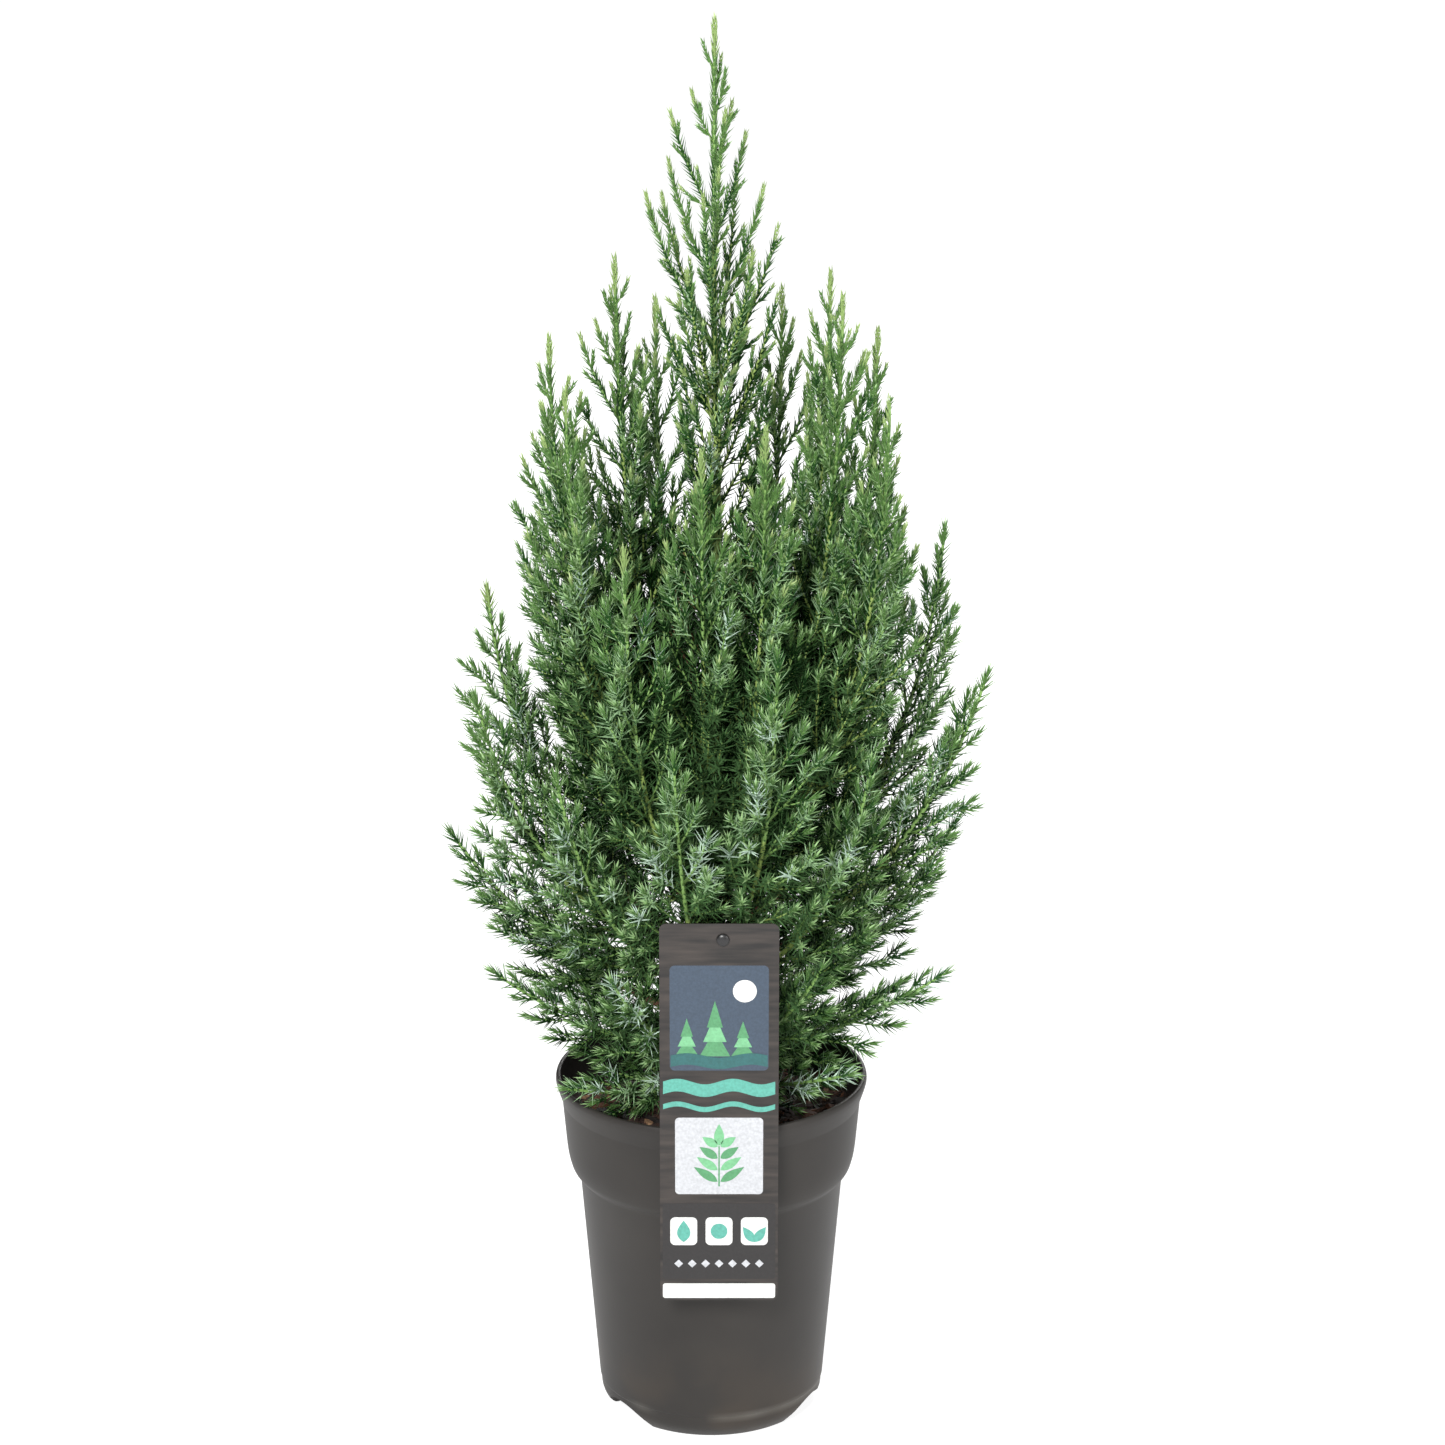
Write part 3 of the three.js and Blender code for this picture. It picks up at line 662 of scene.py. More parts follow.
def needle_forms(w, high):
    """How far each whorl's needles spread, and how long they are."""
    opened = (w["from_tip"] + np.minimum(0.03 * w["ripe"], 5)) / by_height(SPREAD_BY, high)
    least, most = np.radians(by_height(TIP_SPREAD, high)), np.radians(by_height(NEEDLE_SPREAD, high))
    spread = blend(least, most, smooth(0.15, 1, opened)) * (1 - STEM_CLOSE * w["leads"] * high)
    grown = smooth(0, 1, w["from_tip"] / by_height(LENGTH_BY, high))
    length = by_height(NEEDLE_LENGTH, high) * blend(by_height(TIP_LENGTH, high), 1.0, grown)
    return spread, length * blend(WEAK_LENGTH, 1.0, w["vigour"])


def needle_tints(w, high, luck):
    """The place in TINTS of each whorl's colours."""
    z = w["centre"][:, 2]
    inside = crown_radius(z) - np.hypot(w["centre"][:, 0], w["centre"][:, 1])
    depth = np.clip(inside / by_height(DEEP, high), 0, 1)
    tone = smooth(*AGE_TONE, w["from_tip"] + 0.22 * w["ripe"])
    tone = tone + TONE["depth"] * smooth(*DEPTH_TONE, depth) + TONE["luck"] * luck
    tone += TONE["not_high"] * (1 - high) + TONE["low"] * smooth(*LOW_TONE, z)
    tone += TONE["stem"] * w["leads"] * high
    tint = np.select([tone < FRESH_BELOW, tone < GREEN_BELOW], [FRESH, GREEN], default=SHADED)
    pale = chance(w["seed"], 17) < PALE_SHARE * (1 - PALE_FADES * high)
    tint = np.where((tint > FRESH) & pale & (depth < PALE_OPEN), BLUE_GREEN, tint)
    close_to_tip = w["from_tip"] < TIP_ZONE * w["vigour"] * high + NEW_ON_STEM * w["leads"]
    new_growth = close_to_tip & (luck < by_height(NEW_SHARE, high) + w["leads"] * high)
    tint = np.where(new_growth & (depth < OPEN), NEW, tint)
    at_tip = w["from_tip"] < 0.6 * TIP_ZONE
    return np.where(at_tip & (tint > FRESH) & (depth < OPEN), FRESH, tint)


def needle_points():
    """The corners of every needle (left, right, keel and tip), its place in TINTS and its limb."""
    w = whorls()
    n = len(w["k"])
    high = height_share(w["centre"][:, 2])
    luck = chance(w["seed"], 91)
    spread, length = needle_forms(w, high)
    tint = needle_tints(w, high, luck)
    width = by_height(NEEDLE_WIDTH, high)[:, None]
    parts = []
    for j in range(3):
        turn = np.radians(120 * j + 60 * (w["k"] % 2) + 360 * luck) + rng.normal(0, SCATTER["turn"], n)
        radial = across(w["along"], w["side"], turn)
        lean = spread + rng.normal(0, SCATTER["lean"], n)
        towards = w["along"] * np.cos(lean)[:, None] + radial * np.sin(lean)[:, None]
        inner = w["along"] * np.sin(lean)[:, None] - radial * np.cos(lean)[:, None]
        half = np.cross(w["along"], radial) * (width / 2)
        foot = w["centre"] + radial * w["girth"][:, None] - towards * 0.4
        tip = foot + towards * (length * rng.uniform(*SCATTER["length"], n))[:, None]
        keel = foot - inner * width * KEEL
        corners = [foot + half + inner * 0.1, foot - half + inner * 0.1, keel, tip]
        inside = np.hypot(tip[:, 0], tip[:, 1]) < crown_radius(tip[:, 2]) + PAST_OUTLINE
        keep = ~meets_pot_or_label(tip, 0.8) & inside & (tip[:, 2] < TIP_HEIGHT)
        parts.append((np.stack(corners, axis=1)[keep], tint[keep], w["limb"][keep]))
    return [np.concatenate(column) for column in zip(*parts)]


def build_needles():
    points, tints, limbs = needle_points()
    materials = needle_materials()
    needle = np.array([(0, 1, 3), (1, 2, 3), (2, 0, 3), (0, 2, 1)])
    upper_then_lower = np.array([0, 1, 1, 1])
    for limb, name in enumerate(PIECES):
        mine = limbs == limb
        faces = (needle + 4 * np.arange(mine.sum())[:, None, None]).reshape(-1, 3)
        looks = (2 * tints[mine][:, None] + upper_then_lower).ravel()
        replaced = ["needles_" + name] if limb < len(lines) else []
        shape = points[mine].reshape(-1, 3), faces
        piece("sprays_" + name, shape, materials, "needles", replaced, looks)


# Twigs


def tubes(centres, alongs, sides, radii, corners):
    """Closed tapering tubes, each from rings (tube, ring, xyz) to a point at its last place."""
    count, rings = radii.shape
    angle = 2 * np.pi * np.arange(corners) / corners
    around = across(alongs[:, :, None], sides[:, None, None], angle)
    skin = centres[:, :-1, None] + around[:, :-1] * radii[:, :-1, None, None]
    points = np.concatenate([skin.reshape(count, -1, 3), centres[:, -1:], centres[:, :1]], axis=1)
    per = points.shape[1]
    base = per * np.arange(count)[:, None, None]
    quads = skin_faces(rings - 1, corners) + base
    triangles = end_faces(rings - 1, corners, per - 1, per - 2) + base
    return points.reshape(-1, 3), quads.reshape(-1, 4), triangles.reshape(-1, 3)


def twig_materials():
    return [
        plain_material("twig_green", (0.19, 0.33, 0.09), 0.5),
        plain_material("twig_yellow_green", (0.25, 0.35, 0.09), 0.5),
        plain_material("twig_brown", (0.17, 0.10, 0.045), 0.65),
    ]


def shoot_tubes(mine):
    stations = np.array([0, 0.3, 0.62, 0.96])
    own = mine.pick(np.repeat(np.arange(mine.count), len(stations)))
    distance = (mine.total[:, None] * stations[None]).ravel()
    centres = own.at(distance).reshape(-1, len(stations), 3)
    alongs = own.tangent(distance).reshape(-1, len(stations), 3)
    foot = 0.5 + 0.007 * mine.total
    radii = foot[:, None] * (1 - 0.5 * stations)[None]
    points, quads, triangles = tubes(centres, alongs, mine.side, radii, 3)
    ripe = (mine.ripe > 200).astype(int) + (mine.ripe > 360)
    looks = [np.repeat(ripe, len(faces) // mine.count) for faces in (quads, triangles)]
    return points, quads, triangles, *looks


def stem_tube(line):
    stations = np.linspace(0, 0.985, 24)
    corners = 6
    distance = line.total * stations
    radii = (BOUGH_TIP * (1 - stations) + 0.75 * stations)[None]
    tube = tubes(line.at(distance)[None], line.tangent(distance)[None], line.side[None], radii, corners)
    ring_age = line.total - distance[:-2]
    looks = np.repeat((ring_age > 130).astype(int) + (ring_age > 300), corners)
    return *tube, looks, np.repeat([2, 0], corners)


def build_twigs():
    materials = twig_materials()
    for limb, name in enumerate(PIECES):
        mine = shoot_tubes(shoots.pick(shoots.limb == limb))
        if limb < len(lines):
            points, quads, triangles, *looks = stem_tube(lines[limb])
            stem = (points, quads + len(mine[0]), triangles + len(mine[0]), *looks)
            mine = [np.concatenate(pair) for pair in zip(mine, stem)]
        looks = np.concatenate(mine[3:])
        piece("twigs_" + name, mine[:3], materials, "bark", (), looks, smooth_shading=True)


# Trunk and boughs


def relief(angle, height, seed):
    """The bark's relief in mm: long fibrous strips with edges that lift here and there."""
    around = Vector((math.cos(angle), math.sin(angle), 0))
    long_way = Vector((0, 0, height * 0.02 + seed))
    strips = noise.noise(around * 2.6 + long_way)
    fibres = noise.noise(around * 7 + long_way * 3)
    flakes = max(noise.noise(around * 3.4 + long_way * 2.2 + Vector((5, 0, 0))) - 0.15, 0)
    return 0.5 * strips + 0.28 * fibres + 0.9 * flakes


def bark_tube(centres, alongs, side, radii, seed, depth, corners):
    """A closed limb with relief, from rings of points. Its ends are flat."""
    angle = 2 * np.pi * np.arange(corners) / corners
    around = across(alongs[:, None], side, angle)
    points = []
    for k, centre in enumerate(centres):
        for a, way in zip(angle, around[k]):
            points.append(centre + way * (radii[k] + depth * relief(a, centre[2], seed)))
    rings, foot = len(centres), len(points)
    points += [centres[0], centres[-1]]
    return np.array(points), skin_faces(rings, corners), end_faces(rings, corners, foot, foot + 1)


def bark_material():
    """Brown fibres that turn green towards the young wood."""
    browns = [(0.3, (0.05, 0.024, 0.015)), (0.5, (0.125, 0.06, 0.035)), (0.72, (0.23, 0.12, 0.07))]
    material = grained("bark", (900, 900, 90), browns, 0.85, bump=(0.5, 0.6))
    tinted(material, (0.10, 0.15, 0.035), [(380, 0), (470, 1)])
    return material


def build_wood():
    material = bark_material()
    flare = np.linspace(0, 26, 14)
    shaft = np.linspace(30, TRUNK["top"] - SOIL_TOP - GAP, 90)
    heights = SOIL_TOP + GAP + np.concatenate([flare, shaft])
    upright = np.broadcast_to(UP, (len(heights), 3))
    side = np.array((1.0, 0, 0))
    trunk = bark_tube(trunk_centre(heights), upright, side, trunk_radius(heights), 3, 0.9, 30)
    piece("bark_trunk", trunk, [material], "bark", ["trunk"], smooth_shading=True)
    shares = np.linspace(0.012, BARE_SHARE, 26)
    radii = blend(BOUGH_RADIUS, BOUGH_TIP, shares / BARE_SHARE)
    for line in lines:
        if not line.bare:
            continue
        along = line.direction(shares)
        bough = bark_tube(line.point(shares), along, line.side, radii, line.seed, 0.45, 12)
        replaced = ["bough_" + line.name]
        piece("bark_" + line.name, bough, [material], "bark", replaced, smooth_shading=True)


# Pot


def rounded(outline, steps=5):
    """The points of an outline of (radius, height, how far its corner is rounded along both sides)."""
    points = [np.array(row[:2], dtype=float) for row in outline]
    result = [points[0]]
    for k in range(1, len(points) - 1):
        before, corner, after = points[k - 1 : k + 2]
        r = outline[k][2]
        if r == 0:
            result.append(corner)
            continue
        a = corner + unit(before - corner) * min(r, 0.45 * np.linalg.norm(before - corner))
        b = corner + unit(after - corner) * min(r, 0.45 * np.linalg.norm(after - corner))
        for t in np.linspace(0, 1, steps):
            result.append((1 - t) ** 2 * a + 2 * t * (1 - t) * corner + t * t * b)
    return result + [points[-1]]


def lathe(outline, segments):
    """A closed body of revolution from (radius, height) points that start and end on the axis."""
    rings = outline[1:-1]
    angle = 2 * np.pi * np.arange(segments) / segments
    points = [(0, 0, outline[0][1]), (0, 0, outline[-1][1])]
    for r, z in rings:
        points += [(r * math.cos(a), r * math.sin(a), z) for a in angle]
    skin = skin_faces(len(rings), segments, 2)
    return np.array(points), skin, end_faces(len(rings), segments, 0, 1, 2)


# Radius, height and rounding of each corner
POT_OUTSIDE = [
    (0, 0, 0), (61.5, 0, 2.5), (67.9, 7.7, 5), (68.4, 16, 0.5),
    (69, 16.6, 0.6), (80.3, 151, 0), (85.3, 157, 2.5), (87.8, 166, 8),
    (90.9, 200, 0.6), (94.1, 209.4, 1.2), (95, 213, 1.2), (94.2, 216, 1.1),
]
POT_INSIDE = [
    (91.8, 216, 1.1), (91.2, 212, 2), (85.8, 166, 4), (78.3, 151, 4),
    (66.4, 16, 3), (49, 16, 2), (43, 3, 2), (0, 3, 0),
]
DRAIN = {"count": 3, "bearing": -55, "half_width": 21.5, "height": 12.8, "inner": 53, "outer": 114.5}
POT_SEGMENTS = 180


def cut(obj, cutter):
    """Cuts one closed mesh object out of another and leaves the result as a plain mesh."""
    modifier = obj.modifiers.new("cut", "BOOLEAN")
    modifier.operation = "DIFFERENCE"
    modifier.solver = "EXACT"
    modifier.object = cutter
    depsgraph = bpy.context.evaluated_depsgraph_get()
    result = bpy.data.meshes.new_from_object(obj.evaluated_get(depsgraph))
    obj.modifiers.clear()
    before = obj.data
    result.name = before.name
    obj.data = result
    bpy.data.meshes.remove(before)
    bpy.data.objects.remove(cutter)


def drain_cutter(bearing):
    """An arch that goes straight on below the ground, so that none of its corners is level with it."""
    corners = 25
    angle = np.linspace(0, np.pi, corners)
    out = outward(bearing)
    sideways = DRAIN["half_width"] * np.cross(UP, out)
    ring = sideways * np.cos(angle)[:, None] + DRAIN["height"] * UP * np.sin(angle)[:, None]
    ring[[0, -1]] += ring[[0, -1]] - ring[[1, -2]]
    near, far = out * DRAIN["inner"], out * DRAIN["outer"]
    points = np.concatenate([ring + near, ring + far, [near + UP, far + UP]])
    ends = end_faces(2, corners, 2 * corners, 2 * corners + 1)
    return piece("arch", (points, skin_faces(2, corners), ends))


def pot_material():
    """Matt grey plastic with brown dust at the bottom, and above the foot a lighter line on the crease
    that is part wear and part painted highlight on its edge.
    """
    greys = [(0.35, (0.026, 0.0235, 0.0215)), (0.75, (0.035, 0.0315, 0.028))]
    material = grained("pot_plastic", (14, 14, 14), greys, 0.5, detail=6)
    shader_input(material, "Specular IOR Level").default_value = 0.25
    tinted(material, (0.07, 0.05, 0.034), [(0, 0.3), (25, 0.2), (70, 0)], 22)
    # A lighter ring on the crease at 16 mm: part wear, part painted highlight along the crease's edge.
    tinted(material, (0.30, 0.29, 0.26), [(15.3, 0), (15.8, 0.3), (16.1, 0.3), (16.6, 0)], 16)
    return material


def build_pot():
    shape = lathe(rounded(POT_OUTSIDE + POT_INSIDE), POT_SEGMENTS)
    pot = piece("nursery_pot", shape, [pot_material()], "pot_plastic", ["pot"], smooth_shading=True)
    for k in range(DRAIN["count"]):
        cut(pot, drain_cutter(DRAIN["bearing"] + k * 360 / DRAIN["count"]))
    pot.data.set_sharp_from_angle(angle=math.radians(35))


# Soil and its bark mulch


def inner_wall(z):
    radii, heights, _ = zip(*POT_INSIDE[-2::-1])
    return np.interp(z, heights, radii)


SOIL_EDGE = float(inner_wall(SOIL_TOP)) - GAP
CHIP_COUNT = 1100


def soil_height(x, y):
    r = math.hypot(x, y) / SOIL_EDGE
    lumps = noise.noise(Vector((x, y, 0)) * 0.09) + 0.5 * noise.noise(Vector((x, y, 7)) * 0.25)
    return SOIL_TOP - SOIL_MOUND * smooth(0.3, 1, r) - 0.9 + 1.6 * lumps


def soil_material():
    browns = [(0.35, (0.008, 0.005, 0.004)), (0.7, (0.05, 0.026, 0.016))]
    return grained("soil", (260, 260, 260), browns, 0.95, detail=6, bump=(0.8, 1.5))


def build_soil():
    """The soil's body fills the pot, and its top is uneven."""
    below = [(max(r - GAP, 0), z + GAP) for r, z, _ in POT_INSIDE[:1:-1]]
    top = [(SOIL_EDGE * t, SOIL_TOP) for t in np.linspace(1, 0, 22)]
    points, *faces = lathe(below + top, 120)
    for i in np.flatnonzero(points[:, 2] > SOIL_TOP - 1):
        points[i, 2] = soil_height(points[i, 0], points[i, 1])
    piece("potting_soil", (points, *faces), [soil_material()], "soil", ["soil"], smooth_shading=True)


CHIP_TINTS = [
    ("chip_black", (0.012, 0.008, 0.006)),
    ("chip_dark", (0.030, 0.014, 0.009)),
    ("chip_brown", (0.062, 0.027, 0.015)),
    ("chip_red", (0.115, 0.046, 0.022)),
    ("chip_pale", (0.20, 0.115, 0.06)),
]
CHIP_SHARES = (0.3, 0.34, 0.22, 0.11, 0.03)


def build_chips():
    """Flat bits of bark that lie about on the soil."""
    sides = 6
    points, triangles, looks = [], [], []
    for _ in range(CHIP_COUNT):
        distance = (SOIL_EDGE - 5) * math.sqrt(rng.uniform(0.015, 1))
        bearing = rng.uniform(0, 2 * math.pi)
        x, y = distance * math.cos(bearing), distance * math.sin(bearing)
        long_half = rng.uniform(2, 8) * rng.uniform(0.6, 1)
        wide_half, thick = long_half * rng.uniform(0.3, 0.75), rng.uniform(0.7, 2.2)
        turn = Matrix.Rotation(rng.uniform(0, 2 * math.pi), 3, "Z")
        tilt = Matrix.Rotation(rng.normal(0, 0.3), 3, "X") @ Matrix.Rotation(rng.normal(0, 0.22), 3, "Y")
        lie = turn @ tilt
        centre = Vector((x, y, soil_height(x, y) + 0.5 * thick))
        base = len(points)
        for layer in (-0.5, 0.5):
            for c in range(sides):
                a = 2 * math.pi * (c + rng.uniform(-0.25, 0.25)) / sides
                r = rng.uniform(0.8, 1.1) * (1 if layer < 0 else 0.9)
                local = Vector((long_half * r * math.cos(a), wide_half * r * math.sin(a), layer * thick))
                points.append(centre + lie @ local)
        look = int(rng.choice(len(CHIP_TINTS), p=CHIP_SHARES))
        for c in range(1, sides - 1):
            triangles.append((base, base + c + 1, base + c))
            triangles.append((base + sides, base + sides + c, base + sides + c + 1))
        looks.append(look)
    skin = skin_faces(2, sides) + 2 * sides * np.arange(CHIP_COUNT)[:, None, None]
    quads = skin.reshape(-1, 4)
    looks = np.concatenate([np.repeat(looks, sides), np.repeat(looks, 2 * (sides - 2))])
    materials = []
    for name, colour in CHIP_TINTS:
        shades = [(0.3, [0.55 * c for c in colour]), (0.7, [1.35 * c for c in colour])]
        materials.append(grained(name, (300, 900, 900), shades, 0.8, bump=(0.4, 0.4)))
    piece("bark_mulch", (points, quads, triangles), materials, "soil", (), looks)


# Label and stake


def plate(name, outline, back, front, material, slot, replaces=(), holes=()):
    """A flat piece across Y, from its outline in X and Z with any holes, between two depths."""
    mesh = bpy.data.meshes.new(name)
    bm = bmesh.new()
    loops = [outline, *holes]
    edges = []
    for loop in loops:
        verts = [bm.verts.new((x * MM, front * MM, z * MM)) for x, z in loop]
        edges += [bm.edges.new((verts[k], verts[(k + 1) % len(verts)])) for k in range(len(verts))]
    bmesh.ops.triangle_fill(bm, edges=edges, use_beauty=True, normal=(0, -1, 0))
    filled = list(bm.faces)
    raised = bmesh.ops.extrude_face_region(bm, geom=filled)
    moved = [v for v in raised["geom"] if isinstance(v, bmesh.types.BMVert)]
    bmesh.ops.translate(bm, verts=moved, vec=(0, (back - front) * MM, 0))
    bmesh.ops.recalc_face_normals(bm, faces=bm.faces)
    bm.to_mesh(mesh)
    bm.free()
    return new_object(name, mesh, [material], slot, replaces)


def arc(cx, cz, radius, start, end, steps=10):
    return [
        (cx + radius * math.cos(math.radians(a)), cz + radius * math.sin(math.radians(a)))
        for a in np.linspace(start, end, steps)
    ]


def round_box(left, right, bottom, top, radius):
    return (
        arc(right - radius, bottom + radius, radius, -90, 0)
        + arc(right - radius, top - radius, radius, 0, 90)
        + arc(left + radius, top - radius, radius, 90, 180)
        + arc(left + radius, bottom + radius, radius, 180, 270)
    )


def disc(cx, cz, radius, steps=28):
    return arc(cx, cz, radius, 0, 360 - 360 / steps, steps)


def leaf(x, z, length, half_width, turn):
    """A pointed leaf from its foot, at an angle from upright."""
    c, s = math.cos(math.radians(turn)), math.sin(math.radians(turn))
    steps = np.linspace(0, 1, 12)
    right = [(half_width * math.sin(math.pi * t ** 0.8), length * t) for t in steps]
    left = [(-a, b) for a, b in right[-2:0:-1]]
    return [(x + a * c + b * s, z - a * s + b * c) for a, b in right + left]


def band(left, right, centre, rise, waves, half, steps=40):
    """A strip whose edges wave up and down."""
    xs = np.linspace(left, right, steps)
    lift = centre + rise * np.sin(2 * math.pi * waves * (xs - left) / (right - left))
    upper = [(x, z + half) for x, z in zip(xs, lift)]
    return upper + [(x, z - half) for x, z in zip(xs, lift)][::-1]


LABEL_LEFT = LABEL["centre_x"] - LABEL["width"] / 2
LABEL_RIGHT = LABEL["centre_x"] + LABEL["width"] / 2
LABEL_TOP = STUD["z"] + LABEL["drop"]
LABEL_BOTTOM = LABEL_TOP - LABEL["length"]
INK = {
    "slate": (0.038, 0.058, 0.088),
    "teal": (0.085, 0.33, 0.265),
    "deep_teal": (0.02, 0.10, 0.10),
    "stone": (0.46, 0.47, 0.49),
    "moss": (0.075, 0.25, 0.11),
    "leaf_green": (0.15, 0.40, 0.20),
    "paper": (0.66, 0.66, 0.64),
    "dark_band": (0.017, 0.015, 0.015),
}


def print_shapes():
    """The label's print: colour, layer above the card and outline. The motifs are plain shapes."""
    cx, left, right, top = LABEL["centre_x"], LABEL_LEFT, LABEL_RIGHT, LABEL_TOP
    rows = [
        ("slate", 1, round_box(left + 6, right - 6, top - 92, top - 26, 3)),
        ("paper", 2, disc(cx + 15, top - 42, 7)),
    ]
    for x, height, half in ((-19, 26, 7), (-2.5, 38, 9), (14, 24, 7)):
        for level in range(3):
            z = top - 83 + level * height * 0.24
            wide = half * (1 - 0.24 * level)
            spruce = [(cx + x - wide, z), (cx + x + wide, z), (cx + x, z + height * 0.44)]
            rows.append(("leaf_green" if level == 1 else "moss", 2 + level, spruce))
    rows += [
        ("deep_teal", 5, band(left + 6.5, right - 6.5, top - 86, 1.4, 1.5, 3.6)),
        ("teal", 1, band(left + 2, right - 2, top - 103, 1.8, 2, 4)),
        ("teal", 1, band(left + 2, right - 2, top - 115, 1.8, 2, 1.6)),
        ("stone", 1, round_box(left + 9, right - 9, top - 171, top - 122, 2.5)),
    ]
    foot = top - 166
    stalk = [(cx - 0.5, foot), (cx + 0.5, foot), (cx + 0.4, foot + 26), (cx - 0.4, foot + 26)]
    rows += [("moss", 2, stalk), ("leaf_green", 3, leaf(cx, foot + 26, 14, 3, 0))]
    for k in range(4):
        for way in (-1, 1):
            green = "leaf_green" if k % 2 else "moss"
            rows.append((green, 3, leaf(cx + 0.8 * way, foot + 3 + 7.5 * k, 17 - 2 * k, 2.7, 56 * way)))
    rows.append(("dark_band", 1, round_box(left + 1.5, right - 1.5, top - 226, top - 177, 1.5)))
    for x in (-21, 0, 21):
        rows.append(("paper", 2, round_box(cx + x - 8, cx + x + 8, top - 204, top - 186, 3)))
    rows.append(("teal", 3, leaf(cx - 21, top - 202, 14, 4, 0)))
    rows.append(("teal", 3, disc(cx, top - 195, 5)))
    for layer, turn in ((3, -35), (4, 35)):
        rows.append(("teal", layer, leaf(cx + 21, top - 202, 12, 2.8, turn)))
    for k in range(7):
        x, z = cx - 24 + 8 * k, top - 216
        rows.append(("stone", 2, [(x, z - 2.6), (x + 2.6, z), (x, z + 2.6), (x - 2.6, z)]))
    rows.append(("paper", 1, round_box(left + 1.5, right - 1.5, top - 238.5, top - 229, 1.5)))
    return rows


def card_material():
    """Dark wood grain under the film."""
    browns = [(0.34, (0.009, 0.0075, 0.007)), (0.72, (0.042, 0.033, 0.028))]
    return grained("label_film", (26, 1, 240), browns, 0.3, detail=6)


def ink_material(name, colour):
    """Printed colour with a fine mottle."""
    shades = [(0.3, [0.86 * c for c in colour]), (0.7, [min(1.1 * c, 0.9) for c in colour])]
    return grained("ink_" + name, (700, 700, 700), shades, 0.3, detail=2)


def build_label():
    hole = arc(STUD["x"], STUD["z"], LABEL["hole"], 0, 330, 12)
    card = round_box(LABEL_LEFT, LABEL_RIGHT, LABEL_BOTTOM, LABEL_TOP, LABEL["corner"])
    back = LABEL_FRONT + LABEL["thick"]
    plate("label_card", card, back, LABEL_FRONT, card_material(), "label_film", ["label"], [hole])
    inks = {name: ink_material(name, colour) for name, colour in INK.items()}
    for k, (ink, layer, outline) in enumerate(print_shapes()):
        front = LABEL_FRONT - 0.05 * layer
        plate("print_" + str(k), outline, LABEL_FRONT + 0.1, front, inks[ink], "label_film")


def stake_material():
    blacks = [(0.3, (0.010, 0.010, 0.011)), (0.7, (0.019, 0.018, 0.018))]
    return grained("stake_plastic", (90, 90, 90), blacks, 0.36)


def build_stake():
    """A flat strip behind the label, with the stud that holds the label."""
    back = LABEL_FRONT + LABEL["thick"]
    head_y = back + STAKE["behind"] + STAKE["thick"] / 2
    foot = np.array((STUD["x"], STAKE["foot_y"], STAKE["foot_z"]))
    head = np.array((STUD["x"], head_y, STUD["z"] + STAKE_OVER_STUD))
    length = np.linalg.norm(head - foot)
    along = (head - foot) / length
    wide = np.array((1.0, 0, 0))
    thick = np.cross(along, wide)
    half_w, half_t, edge = STAKE["width"] / 2, STAKE["thick"] / 2, STAKE["edge"]
    section = [(half_w - edge, -half_t), (half_w, -half_t + edge)]
    section += [(half_w, half_t - edge), (half_w - edge, half_t)]
    section += [(-a, -b) for a, b in section]
    stations = ((0, 0.75), (2, 1), (length - 1, 1), (length, 0.9))
    points = []
    for distance, share in stations:
        points += [foot + along * distance + (wide * a + thick * b) * share for a, b in section]
    points += [foot, head]
    rings, corners = len(stations), len(section)
    ends = end_faces(rings, corners, len(points) - 2, len(points) - 1)
    strip = points, skin_faces(rings, corners), ends
    material = stake_material()
    piece("stake_strip", strip, [material], "stake_plastic", ["label_stake"])

    front = LABEL_FRONT - STUD["proud"]
    neck_end = head_y - front - 0.4
    dome = [(0, -STUD["head_thick"])]
    for a in np.linspace(0.2, 1.5, 9):
        dome.append((STUD["head"] * math.sin(a), -STUD["head_thick"] * math.cos(a)))
    dome += [(STUD["head"], 0), (STUD["neck"], 0), (STUD["neck"], neck_end), (0, neck_end)]
    points, quads, triangles = lathe(dome, 40)
    x, y, z = points.T
    turned = np.stack([x + STUD["x"], z + front, y + STUD["z"]], axis=1)
    shape = turned, quads[:, ::-1], triangles[:, ::-1]
    stud = piece("stake_stud", shape, [material], "stake_plastic", smooth_shading=True)
    stud.data.set_sharp_from_angle(angle=math.radians(40))


build_needles()
build_twigs()
build_wood()
build_pot()
build_soil()
build_chips()
build_label()
build_stake()


# Camera, floor and light

CAMERA_PLACE = (0, -2.6, 1.287)
CAMERA_PITCH = 18.06
CAMERA_LENS = 114.5
CAMERA_SHIFT = 0.00775
FLOOR = {"half_side": 30000, "grey": 0.35, "near": 0.5, "far": 2.5, "near_glow": 0.87, "far_glow": 0.97}
WORLD_LIGHT = 0.08
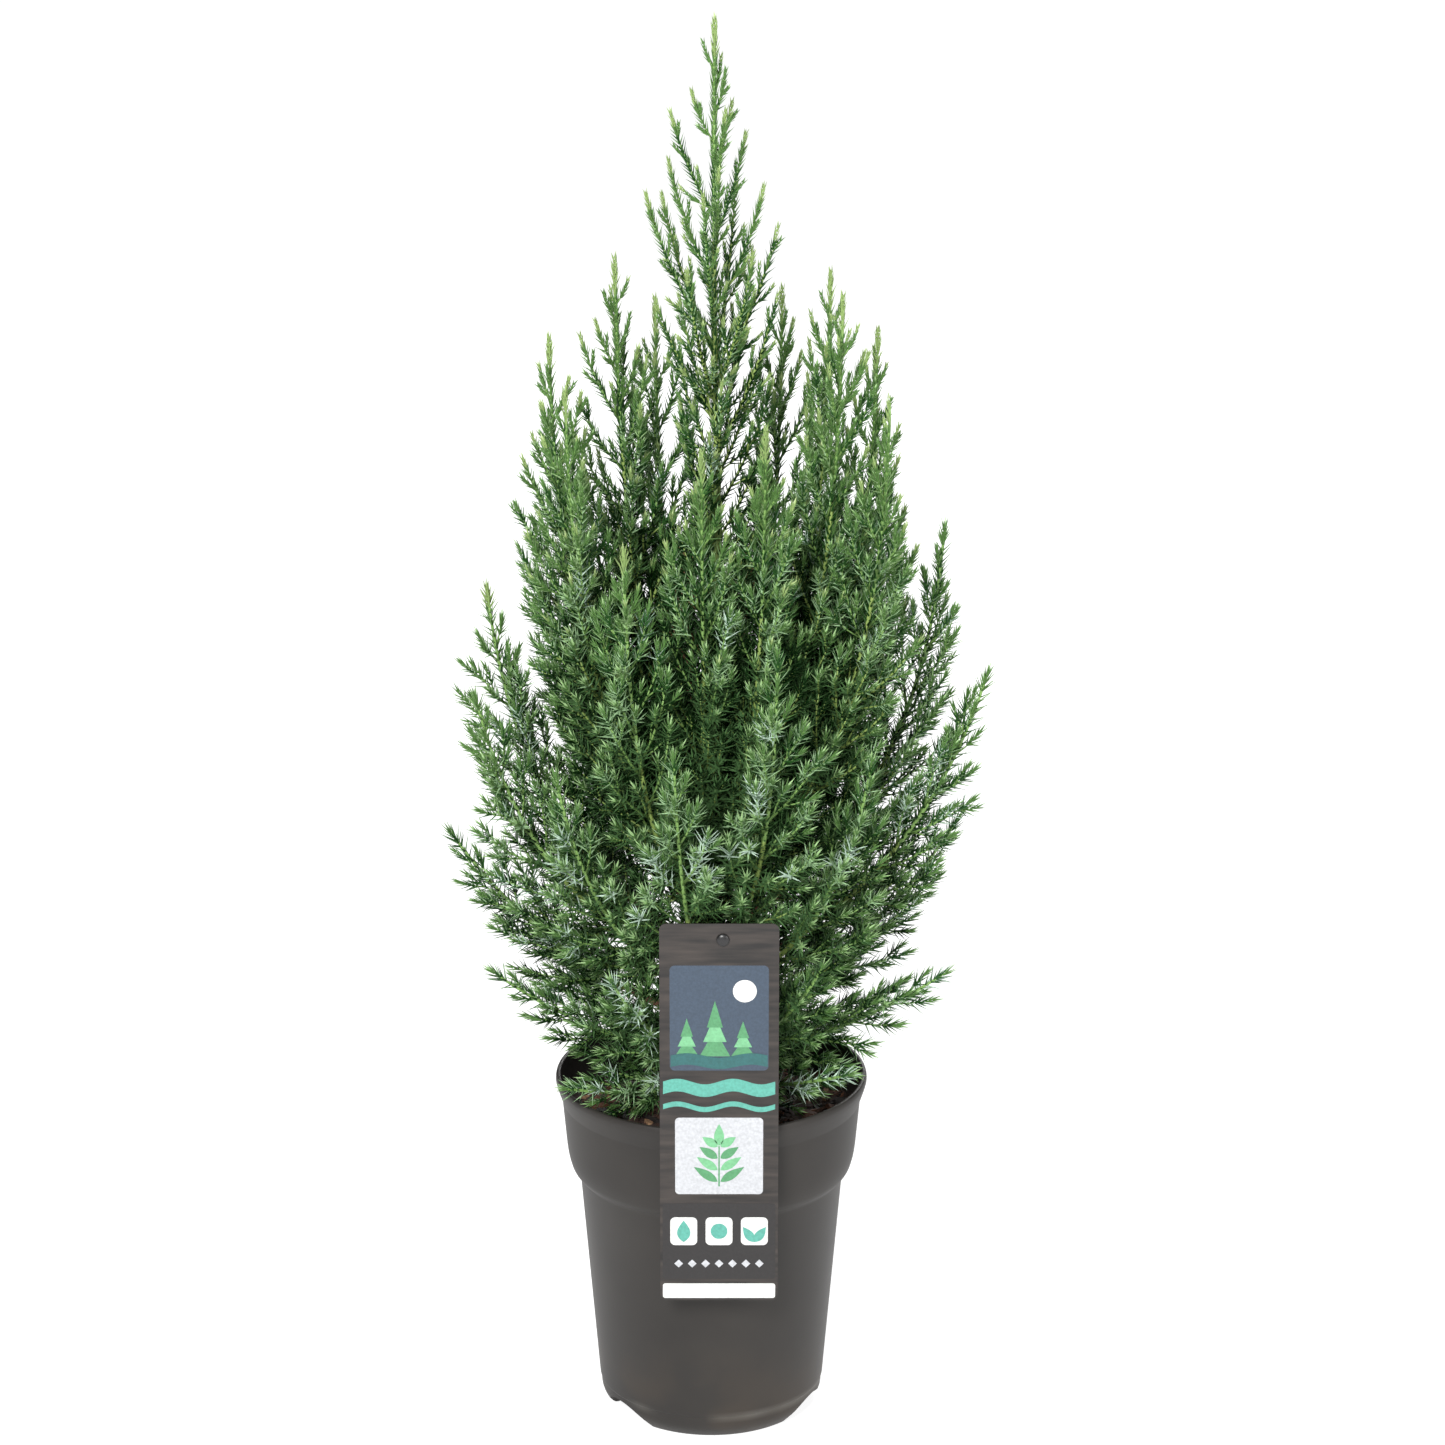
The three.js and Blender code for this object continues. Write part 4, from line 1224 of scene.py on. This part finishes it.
# name, place in metres, size and power
LIGHTS = [
    ("key", (-0.7, -2.4, 1.9), 0.8, 110),
    ("fill", (1.8, -1.6, 1.3), 1.2, 28),
    ("top", (0.2, 0.4, 2.4), 1.6, 12),
    ("back", (0.5, 2.4, 1.6), 1.4, 40),
]


def build_camera():
    data = bpy.data.cameras.new("camera")
    data.lens = CAMERA_LENS
    data.sensor_width = 36
    data.shift_x = CAMERA_SHIFT
    camera = new_object("camera", data)
    camera.location = CAMERA_PLACE
    camera.rotation_euler = (math.radians(90 - CAMERA_PITCH), 0, 0)
    bpy.context.scene.camera = camera


def area_light(name, place, size, power):
    data = bpy.data.lights.new(name, "AREA")
    data.size = size
    data.energy = power
    light = new_object(name, data)
    light.location = place
    aim = Vector((0, 0, 0.4)) - Vector(place)
    light.rotation_euler = aim.to_track_quat("-Z", "Y").to_euler()


def build_stage():
    """A pale floor that glows a little, the studio's walls and the lights."""
    side = FLOOR["half_side"]
    corners = [(-side, -side, 0), (side, -side, 0), (side, side, 0), (-side, side, 0)]
    finish = plain_material("floor", [FLOOR["grey"]] * 3, 0.8, Emission_Color=(1, 1, 1, 1))
    place = add_node(finish, "TexCoord").outputs["Object"]
    glow_inputs = {
        "Value": add_node(finish, "VectorMath", {0: place}, operation="LENGTH").outputs["Value"],
        "From Min": FLOOR["near"],
        "From Max": FLOOR["far"],
        "To Min": FLOOR["near_glow"],
        "To Max": FLOOR["far_glow"],
    }
    glow = add_node(finish, "MapRange", glow_inputs).outputs["Result"]
    finish.node_tree.links.new(glow, shader_input(finish, "Emission Strength"))
    piece("floor", (corners, [(0, 1, 2, 3)]), [finish])
    world = bpy.data.worlds.new("studio")
    world.use_nodes = True
    world.node_tree.nodes["Background"].inputs["Color"].default_value = (1, 1, 1, 1)
    world.node_tree.nodes["Background"].inputs["Strength"].default_value = WORLD_LIGHT
    bpy.context.scene.world = world
    for light in LIGHTS:
        area_light(*light)
    bpy.context.scene.view_settings.view_transform = "Standard"


build_camera()
build_stage()
